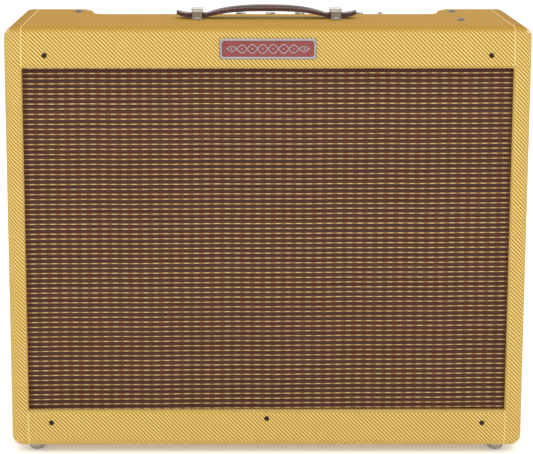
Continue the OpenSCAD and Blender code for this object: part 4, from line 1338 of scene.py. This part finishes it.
def build_brackets(metal):
    """Bent strips that hold the handle: broad feet, narrower sides and a broad top bar."""
    low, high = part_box("handle_brackets")
    sheet, tall, side = 1.6 * MM, high.z - low.z, 16 * MM
    reach = high.y - HANDLE_Y
    bend = 3.2 * MM
    level = sheet / 2
    half_path = [(reach, level, 4.2), (reach - 0.6 * MM, level, 5.8), (reach - 2 * MM, level, 6.7),
                 (reach - 4 * MM, level, 6.9), (side + 2 * MM, level, 6.9),
                 (side + 0.7 * MM, level + 0.3 * MM, 6.4), (side, level + 1.2 * MM, 6.1),
                 (side, tall - level - bend - 0.6 * MM, 6.1)]
    for i in range(7):
        a = math.radians(15 * i)
        half_path.append((side - bend + bend * math.cos(a), tall - level - bend + bend * math.sin(a),
                          6.6 + 0.1 * i))
    path = half_path + [(-y, z, w) for y, z, w in reversed(half_path)]
    section = ((-1, -0.5), (-1, 0.5), (-0.94, 1), (0.94, 1), (1, 0.5), (1, -0.5), (0.94, -1), (-0.94, -1))
    parts = []
    for x in (low.x, high.x):
        inward = 1 if x < 0 else -1
        centre_x = x + inward * 7.25 * MM
        verts = []
        for i, (y, z, w) in enumerate(path):
            ahead, behind = path[min(i + 1, len(path) - 1)], path[max(i - 1, 0)]
            along = Vector((0, ahead[0] - behind[0], ahead[1] - behind[1])).normalized()
            out = Vector((0, along.z, -along.y))
            for across, rise in section:
                at = Vector((centre_x + across * w * MM, HANDLE_Y + y, TOP + z))
                verts.append(at + out * rise * sheet / 2)
        parts.append((verts, ring_faces(len(path), 8)))
    brackets = make_piece("handle_bracket_strips", *joined(parts), metal, degrees=45)
    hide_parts("handle_brackets")


def build_glides(metal):
    low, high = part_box("glide_feet")
    rim = 10 * MM
    verts, faces = turned([(0, 0), (2.2, 0), (4.4, 0.35), (6.6, 1.25), (8.4, 2.6), (9.5, 4.0), (10.0, 5.2),
                           (10.0, 5.9), (9.6, 6.1), (9.6, 8.9), (0, 8.9)], 48)
    parts = [(placed(verts, Matrix.Translation((x, y, 0))), faces)
             for x in (low.x + rim, high.x - rim) for y in (low.y + rim, high.y - rim)]
    glides = make_piece("glide_shells", *joined(parts), metal, degrees=40)
    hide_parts("glide_feet")


def build_nails(metal):
    low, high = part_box("nameplate_nails")
    rim = 1.7 * MM
    y = FRONT - 1.9 * MM
    verts, faces = turned([(0, -0.4), (1.6, -0.4), (1.7, 0.1), (1.5, 0.35), (0.95, 0.55), (0, 0.6)], 24)
    parts = [(placed(verts, Matrix.Translation((x, y, z)) @ FACING_FRONT), faces)
             for x in (low.x + rim, high.x - rim) for z in (low.z + rim, high.z - rim)]
    nails = make_piece("nameplate_nail_heads", *joined(parts), metal, degrees=50)
    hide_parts("nameplate_nails")


# ------------------------------------------------------------------ back panels

def build_back_panel(name, node, cloth, wood):
    """Board with rounded edges, cloth on its outer face and edges and bare ply inside."""
    low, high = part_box(node)
    sheet = 9.5 * MM
    radius = 2.2 * MM
    x = high.x
    tilt = Matrix.Translation((0, BACK_LOW, BASE)) @ Matrix.Rotation(SLOPE, 4, "X")
    up = math.cos(SLOPE)
    start = (low.z - BASE) / up
    end = (high.z - BASE - sheet * math.sin(SLOPE)) / up
    layers = [(0.0, -sheet)]
    for k in range(7):
        a = math.radians(15 * k)
        layers.append((radius * (1 - math.cos(a)), -radius + radius * math.sin(a)))
    verts = []
    for inset, y in layers:
        outline = rounded_outline(2 * x - 2 * inset, end - start - 2 * inset,
                                  max(3 * MM - inset, 0.8 * MM), 4)
        verts += [tilt @ Vector((px, y, (start + end) / 2 + pz)) for px, pz in outline]
    faces = ring_faces(len(layers), len(verts) // len(layers))
    panel = make_piece(name, verts, faces, cloth, degrees=40)
    panel.data.materials.append(wood)
    for face in panel.data.polygons:
        if face.normal.y < -0.9:
            face.material_index = 1

    def place(p, centre, normal):
        depth = back_y(p.z) - p.y
        if abs(normal.z) > 0.7:
            return p.x, p.z + math.copysign(depth, normal.z)
        if abs(normal.x) > 0.7:
            return p.x + math.copysign(depth, normal.x), p.z
        return p.x, p.z

    lay_cloth(panel, place)
    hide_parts(node)


# ------------------------------------------------------------------ speakers and tubes

def build_cone(name, node, body, paper):
    """Pressed paper cone with three ribs, a domed dust cap and its coil former."""
    low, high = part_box(node)
    centre = (low + high) / 2
    front = low.y - 2 * MM
    profile = []
    edge, cap_r = 124.0, 24.0

    def depth(r):
        return 2.0 + (edge - r) * 0.5

    for i in range(61):
        r = edge - (edge - cap_r) * i / 60
        rib = 0.45 * max(0.0, math.cos((r - 64) * math.pi / 5)) if 50 < r < 78 else 0.0
        profile.append((r, depth(r) - rib))
    cap = [(cap_r - 0.6, depth(cap_r) - 0.6)]
    for i in range(1, 13):
        a = math.radians(90 * i / 12)
        cap.append(((cap_r - 0.6) * math.cos(a), depth(cap_r) - 0.6 - 8.2 * math.sin(a)))
    back = [(0.0, cap[-1][1] + 0.6)] + [(r * 0.98, z + 0.7) for r, z in reversed(cap[:-1])]
    rear = [(19.4, 52.0), (19.4, 80.0), (20.0, 80.0), (20.0, depth(20.0) + 0.9)]
    outer = [(r, depth(r) + 0.9) for r in (40, 60, 80, 100, edge)]
    outline = profile + cap + back + rear + outer
    verts, faces = turned(outline, 128)
    place = Matrix.Translation((centre.x, front, centre.z)) @ ALONG_Y
    cone = make_piece(name, placed(verts, place), faces, paper, body, 50)
    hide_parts(node)


DOME_TIP = 4.5


def build_bulb(at, radius, length):
    """Blown envelope with a shoulder, a domed end and the sealed tip; sizes in millimetres."""
    outer = [(radius * 0.86, 0.0), (radius * 0.9, -2.0), (radius * 0.98, -5.0), (radius, -9.0),
             (radius, radius - length + 2)]
    for i in range(1, 9):
        a = math.radians(90 * i / 9)
        outer.append((radius * math.cos(a), radius - length + 2 - (radius - DOME_TIP) * math.sin(a)))
    outer += [(radius * 0.12, 2.4 - length), (1.1, 1.4 - length), (0.0, 0.2 - length)]
    wall = 0.9
    inner = [(max(r - wall, 0.0), z + (wall if z < radius - length else 0.0))
             for r, z in reversed(outer[:-2])]
    inner[0] = (0.0, 3.4 - length)
    verts, faces = turned(outer + inner, 40)
    return placed(verts, Matrix.Translation(at)), faces


def tube_group(name, node, places, radius, length, top, glass):
    """A row of bulbs in one piece; gives back the row's depth."""
    y = sum(v.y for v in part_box(node)) / 2
    parts = [build_bulb((x, y, top), radius, length) for x in places]
    group = make_piece(name, *joined(parts), glass, degrees=50)
    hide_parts(node)
    return y


def getter_flash(name, places, y, radius, length, top, silver):
    """Silvery film inside the far end of each bulb."""
    parts = []
    for x in places:
        profile, back = [], []
        for i in range(2, 9):
            a = math.radians(90 * i / 9)
            r = (radius - 1.2) * math.cos(a)
            z = radius - length + 2.9 - (radius - DOME_TIP) * math.sin(a)
            profile.append((r, z))
            back.append((max(r - 0.15, 0.0), z + 0.15))
        outline = profile + [(0.0, profile[-1][1] - 0.4), (0.0, profile[-1][1] - 0.1)] + back[::-1]
        verts, faces = turned(outline, 32)
        parts.append((placed(verts, Matrix.Translation((x, y, top))), faces))
    flash = make_piece(name, *joined(parts), silver, degrees=50)


def build_tubes(glass, silver):
    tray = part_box("chassis")[0].z
    small = [-205 * MM, -165 * MM, -125 * MM, -85 * MM]
    power = [-30 * MM, 30 * MM]
    rectifier = [95 * MM, 160 * MM]
    base_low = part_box("tube_bases")[0].z
    for name, node, places, radius, length, top in (
        ("preamp_tube_glass", "preamp_tubes", small, 11, 50, tray - 1.5 * MM),
        ("power_tube_glass", "power_tubes", power, 19, 90, base_low),
        ("rectifier_tube_glass", "rectifier_tubes", rectifier, 22, 105, base_low),
    ):
        y = tube_group(name, node, places, radius, length, top, glass)
        getter_flash(name.replace("glass", "getter"), places, y, radius, length, top, silver)


# ------------------------------------------------------------------ putting it together

def build_object():
    """Every piece that Blender makes; gives back the finishes that CAD nodes share with them."""
    tweed = tweed_material("tweed_twill")
    # The second twill is a darker painted-shade copy for the top's side strips
    build_tweed(tweed, tweed_material("tweed_twill_top_sides_shaded", 0.9))
    build_seams(thread_material("cut_edge_threads", (246, 226, 168), (222, 192, 120)))
    build_grille(grille_material())
    build_handle(leather_material(), thread_material("handle_thread", (244, 240, 228), (206, 196, 176)))
    nickel = metal_material("nickel_plate", (176, 170, 158), (146, 140, 130), 0.22, 0.3)
    build_nameplate(
        metal_material("plate_silver", (168, 170, 176), (146, 148, 154), 0.34, 0.35),
        paint_material("plate_enamel", (136, 48, 40), (124, 42, 35), 0.45, 900.0, 0.03 * MM, 0.3))
    build_nails(nickel)
    phenolic = paint_material("black_phenolic", (22, 21, 20), (34, 32, 30), 0.3, 500.0, 0.03 * MM, 0.25)
    white_line = paint_material("white_inlay", (236, 232, 222), (220, 214, 200), 0.5, 800.0, 0.02 * MM)
    for index in range(1, 6):
        build_knob(index, phenolic, white_line)
    build_lever("standby_bat", "standby_lever", "standby_switch", 12, nickel)
    build_lever("power_bat", "power_lever", "power_switch", -12, nickel)
    low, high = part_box("pilot_jewel")
    facet_dome(Vector(((low.x + high.x) / 2, CONTROL_Y, CEILING)), jewel_material())
    build_fuse_cap(phenolic)
    build_dials(paint_material("dial_ink", (30, 30, 32), (44, 44, 46), 0.5, 900.0, 0.01 * MM))
    build_glides(nickel)
    build_brackets(nickel)
    darkened = metal_material("darkened_screws", (74, 58, 50), (52, 42, 38), 0.4, 0.3)
    heads = [Vector(((a.x + b.x) / 2, FRONT, (a.z + b.z) / 2)) for a, b in solid_boxes("front_screws")]
    build_screws("front_screw_set", "front_screws", heads, (0, -1, 0), 3.1 * MM, 1.2 * MM, 18 * MM,
                 darkened, phillips=True)
    foot = TOP + 1.6 * MM
    heads = [Vector(((a.x + b.x) / 2, (a.y + b.y) / 2, foot)) for a, b in solid_boxes("handle_screws")]
    build_screws("handle_screw_set", "handle_screws", heads, (0, 0, 1), 3.6 * MM, 1.8 * MM, 14 * MM,
                 nickel, phillips=True)
    pine = pine_material()
    ply = plywood_material()
    build_back_panel("upper_back_cover", "upper_back_panel", tweed, ply)
    build_back_panel("lower_back_cover", "lower_back_panel", tweed, ply)
    paper = cone_material()
    build_cone("upper_cone_paper", "left_speaker_cone", "left_cone", paper)
    build_cone("lower_cone_paper", "right_speaker_cone", "right_cone", paper)
    getter = metal_material("getter_film", (196, 198, 200), (150, 152, 156), 0.15)
    build_tubes(glass_material(), getter)
    return nickel, phenolic, pine, ply


# Metals: name, two colours, roughness, specks and brushed grain; then the CAD nodes that wear it
METAL_NODES = (
    (("bare_steel", (186, 186, 184), (160, 160, 160), 0.35, 0.2, (1.0, 0.1, 1.0)),
     ("potentiometers", "speaker_bolts")),
    (("dull_zinc", (128, 128, 132), (98, 98, 104), 0.42, 0.2), ("chassis_bolts", "transformer_bracket")),
    (("chrome_plate", (232, 234, 236), (214, 216, 220), 0.12, 0.1), ("chassis",)),
    (("can_aluminium", (200, 202, 204), (180, 182, 186), 0.4, 0.1, (0.1, 1.0, 1.0)), ("filter_capacitors",)),
    (("electrode_carbon", (70, 70, 74), (92, 92, 96), 0.5, 0.2), ("tube_electrodes",)),
)

# Paints: name, two colours, roughness, grain, its depth and coat; then the CAD nodes that wear it
PAINT_NODES = (
    (("eyelet_board", (92, 78, 52), (112, 96, 64), 0.6, 400.0), ("circuit_board",)),
    (("component_paint", (190, 128, 34), (214, 158, 60), 0.4, 300.0), ("board_components",)),
    (("socket_moulding", (70, 44, 28), (88, 58, 38), 0.45, 500.0), ("tube_sockets",)),
    (("tube_base_moulding", (36, 26, 20), (48, 36, 28), 0.35, 600.0, 0.03 * MM, 0.2), ("tube_bases",)),
    (("transformer_paint", (26, 26, 27), (38, 38, 39), 0.35, 260.0, 0.1 * MM, 0.2),
     ("power_transformer", "output_transformer", "choke")),
    (("basket_enamel", (60, 66, 70), (78, 84, 88), 0.4, 300.0, 0.08 * MM, 0.1), ("speaker_baskets",)),
    (("gasket_fibre", (150, 124, 88), (126, 102, 72), 0.9, 500.0, 0.25 * MM), ("speaker_gaskets",)),
    (("suspension_cloth", (176, 140, 86), (150, 116, 70), 0.85, 1200.0, 0.2 * MM), ("speaker_suspensions",)),
    (("lead_sleeve", (34, 32, 30), (52, 48, 44), 0.6, 900.0, 0.1 * MM), ("speaker_lead",)),
    (("gland_rubber", (24, 24, 24), (36, 35, 34), 0.6, 500.0, 0.05 * MM), ("cord_gland",)),
)


def paint_nodes(nickel, phenolic, pine, ply):
    """Finish of every CAD node that stays in view."""
    finishes = {
        pine: ("cabinet_top", "cabinet_bottom", "cabinet_left", "cabinet_right", "front_upper_rail",
               "front_lower_rail", "back_cleats"),
        ply: ("baffle_board",),
        nickel: ("handle_core", "toggle_switches", "pilot_bezel", "input_jacks", "back_panel_screws"),
        phenolic: ("fuse_holder",),
        hammered_material(): ("speaker_magnets",),
    }
    for look, names in METAL_NODES:
        finishes[metal_material(*look)] = names
    for look, names in PAINT_NODES:
        finishes[paint_material(*look)] = names
    for material, names in finishes.items():
        for name in names:
            nodes[name].data.materials.clear()
            nodes[name].data.materials.append(material)


add_camera()
add_studio()
add_floor()
paint_nodes(*build_object())
